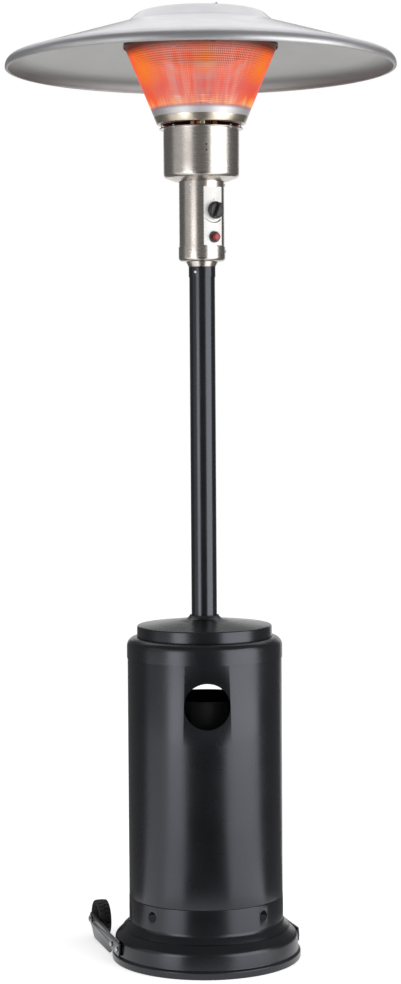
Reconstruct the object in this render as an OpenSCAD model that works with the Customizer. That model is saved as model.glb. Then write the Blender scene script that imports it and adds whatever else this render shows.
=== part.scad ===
// Free-standing gas patio heater: bell base, sliding tank housing, pole, burner head and round reflector.
// Millimetres, +Z up. The origin is the centre of the base rim on the floor, the front faces -Y.

/* [Gas cylinder and its housing] */
// Diameter of the gas cylinder
tank_d = 308; // [290:1:330]
// Height of the gas cylinder with its collar
tank_h = 444; // [420:1:470]
// Gap between the gas cylinder and the support posts
tank_gap = 6.8; // [4:0.1:15]
// Gap between the support posts and the tank housing
cover_gap = 6; // [4:0.5:15]
// Sheet thickness of the tank housing and its lid
housing_t = 1.2; // [0.8:0.1:2]
// Diameter of the front and rear hand holes
hand_hole_d = 101; // [90:1:112]
// Height of the hand hole centre above the shoulder of the base
hand_hole_up = 444; // [400:1:460]

/* [Base] */
// Height of the shoulder that the tank housing stands on
base_h = 142; // [136:1:180]
// How far the base rim stands out from the neck of the base
base_flare = 39; // [34:1:60]
// Sheet thickness of the base
base_t = 1.5; // [1:0.1:2.5]
// Diameter of the vent holes in the neck of the base
vent_d = 24; // [12:1:28]
// Thickness of the deck that the gas cylinder stands on
deck_t = 3; // [2:0.5:5]
// Thickness of the support posts
post_t = 4; // [3:0.5:6]
// Width of the support posts
post_w = 32; // [22:1:40]
// Room for the hose between the gas cylinder and the pole flange
hose_room = 108; // [80:1:140]
// Thickness of the pole flange
flange_t = 4; // [3:0.5:6]

/* [Wheels] */
// Diameter of the wheels over the tyre
wheel_d = 86; // [78:1:100]
// Width of the wheels
wheel_w = 28; // [18:1:30]
// Height of the tyres above the floor while the heater stands
wheel_lift = 3; // [2:0.5:8]
// Diameter of the wheel axle
axle_d = 10; // [8:0.5:12]
// Thickness of the wheel arms
arm_t = 4; // [3:0.5:6]
// Turn of the wheel set about the base, from straight behind
wheel_turn = 15; // [0:1:25]

/* [Pole] */
// Outer diameter of the pole
pole_d = 57; // [50:1:60]
// Wall of the pole
pole_t = 1.5; // [1.2:0.1:2.5]
// Length of the pole
pole_len = 898; // [700:1:1100]

/* [Burner head] */
// Outer diameter of the valve housing
valve_d = 99.6; // [98:0.2:112]
// Length from the underside of the head to the burner cup
head_len = 175; // [170:1:200]
// Diameter of the burner cup
cup_d = 167; // [150:1:172]
// Height of the burner cup
cup_h = 115; // [95:1:140]
// Wall of the head's sheet steel pieces
head_t = 1; // [0.8:0.1:1.5]
// Turn of the control panel from the front, towards +X
panel_turn = 30; // [0:1:50]
// Diameter of the control knob
knob_d = 38; // [32:1:42]
// Diameter of the igniter button
button_d = 17; // [12:0.5:18]

/* [Emitter and reflector] */
// Diameter of the emitter at its foot
emitter_d0 = 191; // [186:1:210]
// Diameter of the emitter at its top
emitter_d1 = 338; // [300:1:360]
// Height of the emitter
emitter_h = 175.5; // [150:0.5:220]
// Distance from the emitter's top plate to the crown of the reflector
spacer_len = 65.5; // [62:0.5:90]
// Diameter of the reflector
reflector_d = 860; // [760:1:900]
// Sheet thickness of the reflector
reflector_t = 1; // [0.8:0.1:1.6]
// Slope of the reflector's dome in degrees
dome_slope = 16.5; // [12:0.5:20]

/* [Hidden] */
$fn = 96;
// Clearances: seats between fixed pieces, sliding pieces, running shafts
seat_gap = 0.2;
slide_gap = 0.4;
run_gap = 0.05;
weld_gap = 0.3;

// Radii that follow outwards from the gas cylinder
tank_r = tank_d / 2;
post_r = tank_r + tank_gap + post_t;
housing_r = post_r + cover_gap + housing_t;
neck_r = housing_r + 0.5;
base_r = neck_r + base_flare;
spigot_gap = 1.8;
spigot_r = housing_r - housing_t - spigot_gap;

// Base profile
hem_w = 14;
rim_h = 15;
rim_step = 5;
band_taper = 2.5;
skirt_r = base_r - rim_step - band_taper;
band_top = base_h - 90;
shelf_w = 17;
shelf_h = 16;
shelf_lap = 7;
shelf_rise = shelf_h / shelf_w;
neck_foot_r = skirt_r - shelf_w;
neck_foot = band_top + shelf_h + (base_t + weld_gap) * norm([1, shelf_rise]);
flare_top = neck_foot + (neck_foot_r - neck_r) * shelf_rise;
vent_drop = 24.5;
spigot_h = 12;
deck_drop = 6;
deck_rim_h = 4.5;
drain_r = 30;
vents = 4;

// Heights that follow upwards from the floor
tank_z = base_h - deck_drop;
deck_z = tank_z - deck_t;
tank_top = tank_z + tank_h;
post_top = tank_top + hose_room;
flange_top = post_top + flange_t;
pole_top = flange_top + pole_len;
spigot_len = 60;

// Support posts: two beside the front opening and two behind
post_angles = [-15, 60, 120, 195];
post_tab = 28;
post_bend = 6;
post_bolt_r = post_r - 20;
bolt_d = 8;
bolt_play = 0.4;
bolt_head_h = 5.3;
bolt_head_d = 15;

// Gas cylinder
tank_wall = 2.6;
tank_foot = 25;
tank_collar_h = 111;
tank_crown_r = 80;
tank_heel_r = 70;
collar_r = 105;
collar_t = 3;
collar_rise = 6.5;
collar_open = 120;
slot_half = 34;
slot_r = 14;
foot_ring_r = 102;
foot_ring_t = 2.5;
tank_bottom = tank_z + tank_foot;
tank_crown = tank_top - tank_collar_h + 5;
boss_r = 14;
outlet_z = tank_crown + 33;
outlet_r = 11;
handwheel_z = outlet_z + 26;
handwheel_h = 18;
handwheel_r = 31;
stem_r = 4;

// Regulator and hose
regulator_x = 80;
regulator_r = 30;
regulator_half = 16;
hose_d = 10;
hose_bend = 38;
hose_start = outlet_z + regulator_half + 16;
hose_mid = post_top - 2;
hose_turn = hose_mid - 2 * hose_bend;

// Lid of the tank housing
lid_up = 29;
shoulder_r = 20;
lid_step_w = 23;
lid_step_h = 25;
lid_rise = 11;
lid_flare_r = 62;
lid_flare_h = 10;
lid_collar_h = 6;
lid_collar_w = 6.5;
shoulder_z = flange_top + lid_up;
lid_edge = shoulder_z + lid_step_h;
lid_neck = lid_edge + lid_rise + lid_flare_h;
lid_r = housing_r + seat_gap + housing_t;
lid_skirt = 26;
housing_top = shoulder_z - shoulder_r;
bush_wall = 2.4;
bush_lip = 1.2;
bush_lip_h = 1.6;
pole_r = pole_d / 2;
bush_r = pole_r + slide_gap;

// Burner head
pole_insert = 38;
head_z = pole_top - pole_insert;
ferrule_h = 11;
sleeve_low = head_z - 34;
sleeve_out = pole_r + seat_gap + 0.9;
screw_turn = -121.5;
ferrule_w = 6.5;
head_wall = 1.5;
band_h = 32;
band_corner = 9;
valve_r = valve_d / 2;
band_r = valve_r + seat_gap + head_wall;
valve_bottom = head_z + band_corner + 0.5;
cup_z = head_z + head_len;
cup_r = cup_d / 2;
cup_rise = 10;
cup_corner = 11;
cup_collar = 15;
cup_flange_w = 8.5;
cup_top = cup_z + cup_h;
cup_lip = cup_top + head_t;
peep_up = 62.5;
peep_step = 12.5;
peep_r = 1.8;

// Control panel and its pieces, along the panel's normal from the pole axis
panel_t = 1.2;
panel_w = 46;
panel_low = 34;
panel_high = 162;
window_w = 40;
window_edge = 7;
knob_up = 110;
igniter_up = 52;
knob_z = head_z + knob_up;
igniter_z = head_z + igniter_up;
panel_in = valve_r + seat_gap;
panel_out = panel_in + panel_t;
knob_push = 4;
knob_gap = 0.6;
knob_base = panel_out + knob_push + knob_gap;
knob_skirt_h = 6;
knob_h = 20;
knob_grip_w = 9;
knob_lean = 22;
valve_stem_r = 3;
valve_half_v = 24;
valve_half_z = 24;
valve_back = -8;
valve_front = 26;
bonnet_r = 11;
bonnet_end = sqrt(panel_in * panel_in - bonnet_r * bonnet_r) - weld_gap;
plunger_r = 8;
plunger_len = 8;
plunger_end = bonnet_end - 2;
stem_in = plunger_end - plunger_len - 6;
bore_in = stem_in - knob_push - 4;
stem_out = knob_base + 12;
button_r = button_d / 2;
button_travel = 6;
igniter_wall = 1.2;
igniter_r = button_r + weld_gap + igniter_wall;
igniter_in = 14;
igniter_out = panel_out + 5.6;
button_out = igniter_out + 9;
button_in = panel_out - 9;
bezel_w = 2.5;
bezel_h = 5.6;

// Burner, pilot, thermocouple and electrode stand on the burner deck
deck_plate_t = 1.5;
burner_z = cup_lip + deck_plate_t;
venturi_r = 15;
venturi_low = knob_z + valve_half_z + 11;
burner_r = 22;
burner_h = 55;
pilot_u = 22;
pilot_v = 22;
pilot_r = 3;
thermo_r = 2.5;
lead_u = 18;
lead_v = -34;
lead_r = 1.75;
ceramic_r = 4;
tilt_r = 7.8;
tilt_h = 26;
sleeve_wall = 2.7;
sleeve_r = pole_r + seat_gap + sleeve_wall;

// Emitter and reflector
emitter_gap = 8;
emitter_z = burner_z + emitter_gap;
emitter_r0 = emitter_d0 / 2;
emitter_r1 = emitter_d1 / 2;
emitter_top_z = emitter_z + emitter_h;
base_ring_h = 16;
ring_t = 1.2;
screen_t = 0.8;
screen_lip = 5;
tab_sweep = 7;
top_t = 1.2;
top_lip = 8;
studs = 3;
stud_orbit = 60;
stud_turn = -65;
stud_r = 3;
crown_under = emitter_top_z + weld_gap + top_t + spacer_len;
crown_z = crown_under + reflector_t;
reflector_r = reflector_d / 2;
hat_r = 164.4;
hat_h = 23;
hat_slope = 41;
hat_corner = 22;
rim_corner = 21.5;
rim_drop = 20.5;
rim_hem = 7;
hat_foot = crown_z - hat_h;
dome_edge = hat_foot - (reflector_r - hat_r) * tan(dome_slope);
rim_z = dome_edge - rim_drop;
washer_t = 1.5;
nut_h = 8;

// Wheel set, in its own frame: +Y behind the heater, the left wheel at -X
axle_z = wheel_d / 2 + wheel_lift;
axle_back = base_r + 10.5;
arm_in = base_r - rim_step + weld_gap;
collar_w = 5;
wheel_x = arm_in - weld_gap - collar_w - slide_gap - wheel_w / 2;
axle_r = axle_d / 2;
tyre_t = 9;
hub_wall = 6;
rim_wall = 4;
spokes = 6;
arm_front = 28;
arm_pad_low = 20;
arm_pad_high = 52;
arm_low = 8;
arm_drop = 56;
arm_eye = 16;
arm_bolt_mid = 10;
arm_bolt_y = 25;
arm_bolt_z = 34;
arm_bolt_r = 3;
cap_h = 5;

// A smooth outline from corner points [r, z] or [r, z, fillet]
function unit(v) = v / norm(v);
function xy(p) = [p[0], p[1]];
function turn_by(a) = a - 360 * floor((a + 180) / 360);
function arc(c, r, a0, da, n) = [for (k = [0 : n]) c + r * [cos(a0 + da * k / n), sin(a0 + da * k / n)]];
function corner(a, p, b, r) =
    let (u = unit(a - p), w = unit(b - p), half = acos(max(-1, min(1, u * w))) / 2)
    let (c = p + unit(u + w) * r / sin(half), s = p + u * r / tan(half), e = p + w * r / tan(half))
    let (a0 = atan2(s[1] - c[1], s[0] - c[0]), a1 = atan2(e[1] - c[1], e[0] - c[0]))
    arc(c, r, a0, turn_by(a1 - a0), 6);
function smooth(p) = [
    for (i = [0 : len(p) - 1])
        each (i > 0 && i < len(p) - 1 && len(p[i]) > 2)
            ? corner(xy(p[i - 1]), xy(p[i]), xy(p[i + 1]), p[i][2])
            : [xy(p[i])]
];
// The same outline shifted to its left by t, with mitred corners
function left(a, b) = let (d = unit(b - a)) [-d[1], d[0]];
function miter(n0, n1, t) = let (m = unit(n0 + n1)) m * t / (m * n0);
function shifted(p, t) = [
    for (i = [0 : len(p) - 1])
        p[i] + (i == 0 ? t * left(p[0], p[1])
            : i == len(p) - 1 ? t * left(p[i - 1], p[i])
            : miter(left(p[i - 1], p[i]), left(p[i], p[i + 1]), t))
];
function reversed(p) = [for (i = [len(p) - 1 : -1 : 0]) p[i]];
function sheet(p, t) = concat(p, reversed(shifted(p, t)));

// Height of the gas cylinder's crown and of its heel at a radius
function crown_height(r) =
    let (c = tank_r - tank_crown_r)
    tank_crown - tank_crown_r + sqrt(pow(tank_crown_r, 2) - pow(max(0, r - c), 2));
function heel_height(r) =
    let (c = tank_r - tank_heel_r)
    tank_bottom + tank_heel_r - sqrt(pow(tank_heel_r, 2) - pow(max(0, r - c), 2));

// Radius of the emitter's cone at a height above its foot
function cone_r(h) = emitter_r0 + (emitter_r1 - emitter_r0) * h / emitter_h;

// Sheet metal of revolution from corner points
module spun(points, t) {
    rotate_extrude()
        polygon(sheet(smooth(points), t));
}

module ring(r_out, r_in, h) {
    difference() {
        cylinder(r = r_out, h = h);
        translate([0, 0, -1])
            cylinder(r = r_in, h = h + 2);
    }
}

// Copies round the axis at the given angles
module around(angles) {
    for (a = angles)
        rotate([0, 0, a])
            children();
}

// Places a piece drawn along +Z on the panel's normal, at a height and a distance from the pole axis
module on_panel(z, from = 0, side = 0) {
    rotate([0, 0, panel_turn])
        translate([side, -from, z])
            rotate([90, 0, 0])
                children();
}

// Places a piece drawn along +Z upright in the head, u along the panel's normal and v to its right
module in_head(u, v, z) {
    rotate([0, 0, panel_turn])
        translate([v, -u, z])
            children();
}

// Places a piece in the frame of the wheel set
module wheel_set() {
    rotate([0, 0, wheel_turn])
        children();
}

// Base: a stamped foot with a hem on the floor, a band and a shelf that reaches in under the neck
module base_skirt() {
    reach = shelf_w + shelf_lap;
    color("#1b1b1d")
        difference() {
            spun([
                [base_r - hem_w, 0],
                [base_r, 0, 2.5],
                [base_r, rim_h, 3],
                [base_r - rim_step, rim_h + 4, 2],
                [skirt_r, band_top, 14],
                [skirt_r - reach, band_top + reach * shelf_rise]
            ], base_t);
            wheel_set()
                arm_bolt_places()
                    translate([0, 0, -12])
                        cylinder(r = arm_bolt_r + bolt_play / 2, h = 24);
        }
}

// Neck: a rolled ring, flared at its foot and welded to the shelf, with vents and a spigot for the housing
module base_neck() {
    color("#1b1b1d")
        difference() {
            spun([
                [neck_foot_r, neck_foot],
                [neck_r, flare_top, 12],
                [neck_r, base_h, 2],
                [spigot_r, base_h, 0.6],
                [spigot_r, base_h + spigot_h]
            ], base_t);
            for (k = [0 : vents - 1])
                rotate([0, 0, 45 + 360 * k / vents])
                    translate([neck_r - 10, 0, base_h - vent_drop])
                        rotate([0, 90, 0])
                            cylinder(d = vent_d, h = 20);
        }
}

// Deck: the pan welded inside the neck that carries the gas cylinder and the support posts
module base_deck() {
    rim_r = neck_r - base_t - seat_gap;
    color("#202022")
        difference() {
            spun([[rim_r, tank_z - deck_rim_h], [rim_r, tank_z, deck_t + 0.6], [drain_r, tank_z]], deck_t);
            around(post_angles)
                translate([post_bolt_r, 0, deck_z - 1])
                    cylinder(d = bolt_d + bolt_play, h = deck_t + 2);
        }
}

// Support post: a flat bar with a tab bent in at each end
module support_post(angle) {
    color("#2a2a2c")
        rotate([0, 0, angle])
            difference() {
                translate([0, post_w / 2, 0])
                    rotate([90, 0, 0])
                        linear_extrude(post_w)
                            polygon(sheet(smooth([
                                [post_r - post_tab, tank_z],
                                [post_r, tank_z, post_bend],
                                [post_r, post_top, post_bend],
                                [post_r - post_tab, post_top]
                            ]), post_t));
                for (z = [tank_z, post_top - post_t])
                    translate([post_bolt_r, 0, z - 1])
                        cylinder(d = bolt_d + bolt_play, h = post_t + 2);
            }
}

// One hex bolt with its nut, drawn up from the face that the head bears on, clamping a stack below it
module hex_bolt(stack) {
    cylinder(d = bolt_head_d, h = bolt_head_h, $fn = 6);
    translate([0, 0, -stack - bolt_head_h - 2])
        cylinder(d = bolt_d, h = stack + bolt_head_h + 2);
    translate([0, 0, -stack - bolt_head_h])
        cylinder(d = bolt_head_d, h = bolt_head_h, $fn = 6);
}

module post_bolts() {
    color("#b8babd")
        around(post_angles)
            translate([post_bolt_r, 0, 0]) {
                translate([0, 0, tank_z + post_t])
                    hex_bolt(post_t + deck_t);
                translate([0, 0, flange_top])
                    hex_bolt(post_t + flange_t);
            }
}

// Pole flange: a round plate on the posts with a spigot inside the pole
module pole_flange() {
    color("#202022")
        difference() {
            union() {
                translate([0, 0, post_top])
                    cylinder(r = post_r - post_t - 3, h = flange_t);
                translate([0, 0, flange_top])
                    cylinder(r = pole_r - pole_t - seat_gap, h = spigot_len);
            }
            translate([0, 0, post_top - 1])
                cylinder(r = pole_r - pole_t - seat_gap - 2.4, h = flange_t + spigot_len + 2);
            around(post_angles)
                translate([post_bolt_r, 0, post_top - 1])
                    cylinder(d = bolt_d + bolt_play, h = flange_t + 2);
            pole_screw_places()
                translate([0, 0, -12])
                    cylinder(r = 3 + bolt_play / 2, h = 14);
        }
}

// The two screws that hold the pole on its flange, drawn along +Z out of the pole
module pole_screw_places() {
    around([0, 180])
        translate([pole_r, 0, flange_top + 30])
            rotate([0, 90, 0])
                children();
}

module pole() {
    color("#161618")
        difference() {
            translate([0, 0, flange_top])
                ring(pole_r, pole_r - pole_t, pole_len);
            pole_screw_places()
                translate([0, 0, -8])
                    cylinder(r = 3 + bolt_play / 2, h = 12);
            sleeve_screw_place()
                translate([0, 0, -6])
                    cylinder(r = 2 + bolt_play / 2, h = 12);
        }
}

module pole_screws() {
    color("#b8babd")
        pole_screw_places() {
            translate([0, 0, seat_gap])
                rotate_extrude()
                    polygon(concat([[0, 0]], smooth([[5.5, 0], [5.5, 3.2, 2], [0, 3.2]])));
            translate([0, 0, -7])
                cylinder(r = 3, h = 7 + seat_gap);
        }
}

// Gas cylinder: welded steel body with its foot ring, open only at the valve boss
module gas_cylinder() {
    ring_in = foot_ring_r - foot_ring_t;
    color("#2e3032")
        union() {
            spun([
                [0, tank_bottom],
                [tank_r, tank_bottom, tank_heel_r],
                [tank_r, tank_crown, tank_crown_r],
                [boss_r, tank_crown]
            ], tank_wall);
            translate([0, 0, tank_z])
                ring(foot_ring_r, ring_in, heel_height(ring_in) - tank_z + 1);
        }
}

// Collar round the valve, open on the regulator's side, with two hand slots
module cylinder_collar() {
    low = crown_height(collar_r - collar_t) + weld_gap;
    slot_z = tank_top - 32;
    color("#2e3032")
        difference() {
            rotate([0, 0, collar_open / 2])
                rotate_extrude(angle = 360 - collar_open)
                    translate([collar_r - collar_t, low])
                        square([collar_t, tank_top + collar_rise - low]);
            around([135, 225])
                translate([collar_r - 10, 0, slot_z])
                    rotate([0, 90, 0]) {
                        for (y = [-slot_half, slot_half])
                            translate([0, y, 0])
                                cylinder(r = slot_r, h = 20);
                        translate([-slot_r, -slot_half, 0])
                            cube([2 * slot_r, 2 * slot_half, 20]);
                    }
        }
}

// Brass cylinder valve with its side outlet and the stem for the handwheel
module cylinder_valve() {
    color("#b8964e") {
        translate([0, 0, tank_crown - tank_wall])
            cylinder(r = boss_r - seat_gap, h = tank_wall + 10);
        translate([0, 0, tank_crown + seat_gap])
            cylinder(r = 19, h = 7);
        translate([0, 0, tank_crown + 5])
            cylinder(r = 14, h = outlet_z - tank_crown + 9);
        translate([0, 0, outlet_z])
            rotate([0, 90, 0])
                cylinder(r = outlet_r, h = 38);
        translate([0, 0, outlet_z + 10])
            cylinder(r = 10, h = handwheel_z - outlet_z - 11);
        translate([0, 0, outlet_z + 10])
            cylinder(r = stem_r, h = handwheel_z - outlet_z - 10 + handwheel_h - 1);
    }
}

// Handwheel with finger scallops, on the valve's stem
module valve_handwheel() {
    color("#1f2124")
        translate([0, 0, handwheel_z])
            difference() {
                rotate_extrude()
                    polygon(concat([[0, 0]], smooth([
                        [handwheel_r - 4, 0], [handwheel_r, 3, 2], [handwheel_r, handwheel_h - 3, 3],
                        [handwheel_r - 9, handwheel_h, 3], [0, handwheel_h]
                    ])));
                for (k = [0 : 7])
                    rotate([0, 0, 45 * k + 22.5])
                        translate([handwheel_r + 5, 0, -1])
                            cylinder(r = 8, h = handwheel_h + 2);
                translate([0, 0, -1])
                    cylinder(r = stem_r + run_gap, h = handwheel_h + 2);
            }
}

// Hand-tight nut that joins the regulator to the cylinder valve
module coupling_nut() {
    color("#1f2124")
        translate([20, 0, outlet_z])
            rotate([0, 90, 0])
                difference() {
                    cylinder(r = 20, h = 26);
                    for (k = [0 : 11])
                        rotate([0, 0, 30 * k])
                            translate([21.5, 0, -1])
                                cylinder(r = 3, h = 28);
                    translate([0, 0, -1])
                        cylinder(r = outlet_r + seat_gap, h = 28);
                }
}

// Regulator: round diaphragm body, inlet nipple in the nut, outlet on top for the hose
module regulator() {
    color("#8f9396")
        union() {
            translate([regulator_x, 0, outlet_z])
                rotate_extrude()
                    polygon(concat([[0, -regulator_half]], smooth([
                        [20, -regulator_half, 3], [regulator_r, -6, 3], [regulator_r, 6, 3],
                        [18, regulator_half, 3], [9, regulator_half, 2], [9, regulator_half + 5],
                        [7.5, regulator_half + 5], [7.5, regulator_half + 16], [0, regulator_half + 16]
                    ])));
            translate([38 + weld_gap, 0, outlet_z])
                rotate([0, 90, 0])
                    cylinder(r = outlet_r - 1, h = regulator_x - 40);
        }
}

// Gas hose: up from the regulator beside the hand holes, over to the middle, and up inside the pole
module gas_hose() {
    inlet = knob_z - valve_half_z - 26;
    straight = regulator_x - 2 * hose_bend;
    color("#141414") {
        translate([regulator_x, 0, hose_start])
            cylinder(d = hose_d, h = hose_turn - hose_start);
        translate([regulator_x - hose_bend, 0, hose_turn])
            rotate([90, 0, 0])
                rotate_extrude(angle = 90)
                    translate([hose_bend, 0])
                        circle(d = hose_d);
        translate([hose_bend, 0, hose_turn + hose_bend])
            rotate([0, 90, 0])
                cylinder(d = hose_d, h = straight);
        translate([hose_bend, 0, hose_mid])
            rotate([90, 0, 0])
                rotate([0, 0, 180])
                    rotate_extrude(angle = 90)
                        translate([hose_bend, 0])
                            circle(d = hose_d);
        translate([0, 0, hose_mid])
            cylinder(d = hose_d, h = inlet - hose_mid);
    }
}

// Drum: two rolled half shells with a hand hole each, welded along seams at the sides
module housing_shell(turn) {
    bottom = base_h + weld_gap;
    color("#1b1b1d")
        rotate([0, 0, turn])
            difference() {
                translate([0, 0, bottom])
                    ring(housing_r, housing_r - housing_t, housing_top - bottom);
                translate([0, 0, base_h + hand_hole_up])
                    rotate([90, 0, 0])
                        cylinder(d = hand_hole_d, h = housing_r + 5);
                translate([-housing_r - 5, -weld_gap / 2, 0])
                    cube([2 * housing_r + 10, housing_r + 5, housing_top + 5]);
            }
}

module tank_housing() {
    housing_shell(0);
}

module housing_back() {
    housing_shell(180);
}

// Lid: pressed over the drum, with a raised top that sweeps up to the pole
module housing_lid() {
    step_r = lid_r - lid_step_w;
    mid_r = lid_r - shoulder_r;
    neck_out = bush_r + bush_wall + seat_gap + housing_t;
    shoulder = arc([mid_r, housing_top], shoulder_r, 0, acos((step_r - mid_r) / shoulder_r), 8);
    side = concat([[lid_r, housing_top - lid_skirt]], [for (k = [0 : 7]) shoulder[k]]);
    top = smooth([
        shoulder[8],
        [step_r, lid_edge, 4],
        [lid_flare_r, lid_edge + lid_rise, 26],
        [neck_out + lid_collar_w, lid_neck - lid_collar_h, 8],
        [neck_out, lid_neck]
    ]);
    color("#1b1b1d")
        rotate_extrude()
            polygon(sheet(concat(side, top), housing_t));
}

// Guide bush between the lid and the pole
module lid_bush() {
    color("#111111")
        union() {
            translate([0, 0, lid_neck - lid_flare_h])
                ring(bush_r + bush_wall, bush_r, lid_flare_h + seat_gap);
            translate([0, 0, lid_neck + seat_gap])
                ring(bush_r + bush_wall + bush_lip, bush_r, bush_lip_h);
        }
}

// Sleeve below the head, clamped to the pole by one screw
module pole_sleeve() {
    color("#161618")
        difference() {
            translate([0, 0, sleeve_low])
                ring(sleeve_out, pole_r + seat_gap, head_z - ferrule_h - 2 * seat_gap - sleeve_low);
            sleeve_screw_place()
                translate([0, 0, -6])
                    cylinder(r = 2 + bolt_play / 2, h = 12);
        }
}

module sleeve_screw_place() {
    rotate([0, 0, screw_turn])
        translate([sleeve_out, 0, head_z - 23])
            rotate([0, 90, 0])
                children();
}

// Ferrule under the head, closing the joint to the pole
module pole_ferrule() {
    inside = pole_r + seat_gap;
    color("#c4c5c4")
        translate([0, 0, head_z - ferrule_h - seat_gap])
            rotate_extrude()
                polygon(concat([[inside, 0]], smooth([
                    [inside + 1.2, 0], [inside + ferrule_w - 1.5, ferrule_h * 0.7, 4],
                    [inside + ferrule_w, ferrule_h], [inside, ferrule_h]
                ])));
}

// Head base: the dished band at the foot of the head, with a sleeve over the pole
module head_base() {
    color("#a9a8a4")
        difference() {
            union() {
                spun([
                    [pole_r + seat_gap, head_z],
                    [band_r, head_z, band_corner],
                    [band_r, head_z + band_h]
                ], head_wall);
                translate([0, 0, head_z + head_wall / 2])
                    ring(sleeve_r, pole_r + seat_gap, pole_insert + 2);
            }
            head_screw_places(head_z + 22, band_r)
                translate([0, 0, -6])
                    cylinder(r = 2 + bolt_play / 2, h = 12);
        }
}

// Valve housing: the tube that holds the control valve, with a window behind the panel
module valve_housing() {
    color("#a9a8a4")
        difference() {
            translate([0, 0, valve_bottom])
                ring(valve_r, valve_r - head_t, cup_z - valve_bottom);
            rotate([0, 0, panel_turn])
                translate([-window_w / 2, -valve_r - 5, head_z + panel_low + window_edge])
                    cube([window_w, valve_r, panel_high - panel_low - 2 * window_edge]);
            head_screw_places(head_z + 22, band_r)
                translate([0, 0, -6])
                    cylinder(r = 2 + bolt_play / 2, h = 12);
            head_screw_places(cup_z - 7, valve_r)
                translate([0, 0, -6])
                    cylinder(r = 2 + bolt_play / 2, h = 12);
        }
}

// Screw places round the head, drawn along +Z out of the surface
module head_screw_places(z, r) {
    around([screw_turn, screw_turn + 120, screw_turn + 240])
        translate([r, 0, z])
            rotate([0, 90, 0])
                children();
}

module small_screw(grip) {
    translate([0, 0, seat_gap])
        rotate_extrude()
            polygon(concat([[0, 0]], smooth([[3.4, 0], [3.4, 1.9, 1.4], [0, 1.9]])));
    translate([0, 0, -grip])
        cylinder(r = 2, h = grip + seat_gap);
}

module head_screws() {
    color("#8c8c8a") {
        head_screw_places(head_z + 22, band_r)
            small_screw(5);
        head_screw_places(cup_z - 7, valve_r)
            small_screw(4);
        sleeve_screw_place()
            small_screw(4);
        cup_screw_places(cup_top)
            mirror([0, 0, 1])
                small_screw(deck_plate_t + head_t + 2.5);
    }
}

// Control panel: curved plate over the window, with holes for the valve stem and the igniter
module control_panel() {
    half = asin(panel_w / 2 / panel_out);
    color("#f2f2f0")
        difference() {
            rotate([0, 0, panel_turn - 90 - half])
                rotate_extrude(angle = 2 * half)
                    translate([panel_in, head_z + panel_low])
                        square([panel_t, panel_high - panel_low]);
            on_panel(knob_z)
                cylinder(r = valve_stem_r + 2, h = panel_out + 5);
            on_panel(igniter_z)
                cylinder(r = igniter_r + weld_gap, h = panel_out + 5);
        }
}

// Gas control valve: block with a bonnet for the push-and-turn stem, gas inlet below, orifice above
module gas_valve() {
    color("#9a9c9e")
        difference() {
            union() {
                in_head(0, 0, knob_z)
                    translate([-valve_half_v, -valve_front, -valve_half_z])
                        cube([2 * valve_half_v, valve_front - valve_back, 2 * valve_half_z]);
                on_panel(knob_z, valve_front - 1)
                    cylinder(r = bonnet_r, h = bonnet_end - valve_front + 1);
                translate([0, 0, knob_z - valve_half_z - 26])
                    cylinder(d = 17, h = 27, $fn = 6);
                translate([0, 0, knob_z + valve_half_z - 1])
                    cylinder(r = 5, h = 14);
            }
            on_panel(knob_z, bore_in)
                cylinder(r = plunger_r, h = bonnet_end);
        }
}

// Plunger that the knob pushes in against its spring before it turns
module valve_plunger() {
    color("#c2a562")
        on_panel(knob_z, plunger_end - plunger_len)
            ring(plunger_r - run_gap, valve_stem_r + run_gap, plunger_len);
}

module valve_stem() {
    color("#c2a562")
        on_panel(knob_z, stem_in)
            cylinder(r = valve_stem_r, h = stem_out - stem_in);
}

// Control knob: round skirt with a raised grip bar, bored for the stem
module control_knob() {
    knob_r = knob_d / 2;
    color("#141414")
        on_panel(knob_z, knob_base)
            difference() {
                union() {
                    rotate_extrude()
                        polygon(concat([[0, 0]], smooth([
                            [knob_r, 0], [knob_r - 0.5, knob_skirt_h, 2], [0, knob_skirt_h + 1]
                        ])));
                    rotate([0, 0, -knob_lean])
                        intersection() {
                            rotate_extrude()
                                polygon(concat([[0, 1]], smooth([
                                    [knob_r - 1, 1], [knob_r - 2.5, knob_h, 4], [0, knob_h]
                                ])));
                            translate([-knob_grip_w / 2, -knob_r, 1])
                                cube([knob_grip_w, 2 * knob_r, knob_h]);
                        }
                }
                translate([0, 0, -1])
                    cylinder(r = valve_stem_r + seat_gap / 2, h = stem_out - knob_base + 1.5);
            }
}

// Piezo igniter: body behind the panel, ring nut in front, push button
module igniter_body() {
    color("#1a1a1a")
        on_panel(igniter_z, igniter_in)
            difference() {
                cylinder(r = igniter_r, h = igniter_out - igniter_in);
                translate([0, 0, button_in - button_travel - 3 - igniter_in])
                    cylinder(r = button_r + weld_gap, h = igniter_out);
            }
}

module igniter_bezel() {
    color("#1a1a1a")
        on_panel(igniter_z, panel_out + seat_gap)
            rotate_extrude()
                polygon(smooth([
                    [igniter_r + seat_gap, 0], [igniter_r + bezel_w, 0],
                    [igniter_r + bezel_w - 0.5, bezel_h, 1.2], [igniter_r + seat_gap, bezel_h]
                ]));
}

module igniter_button() {
    color("#a3161c")
        on_panel(igniter_z, button_in)
            rotate_extrude()
                polygon(concat([[0, 0]], smooth([
                    [button_r, 0], [button_r, button_out - button_in, 3], [0, button_out - button_in + 1]
                ])));
}

// Tilt switch: small can clipped to the sleeve of the head base
module tilt_switch() {
    color("#6d7073")
        rotate([0, 0, screw_turn + 180])
            translate([sleeve_r + weld_gap + tilt_r, 0, head_z + 11.5])
                union() {
                    cylinder(r = tilt_r, h = tilt_h);
                    translate([0, 0, tilt_h])
                        cylinder(r = 2.5, h = 6);
                }
}

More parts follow.
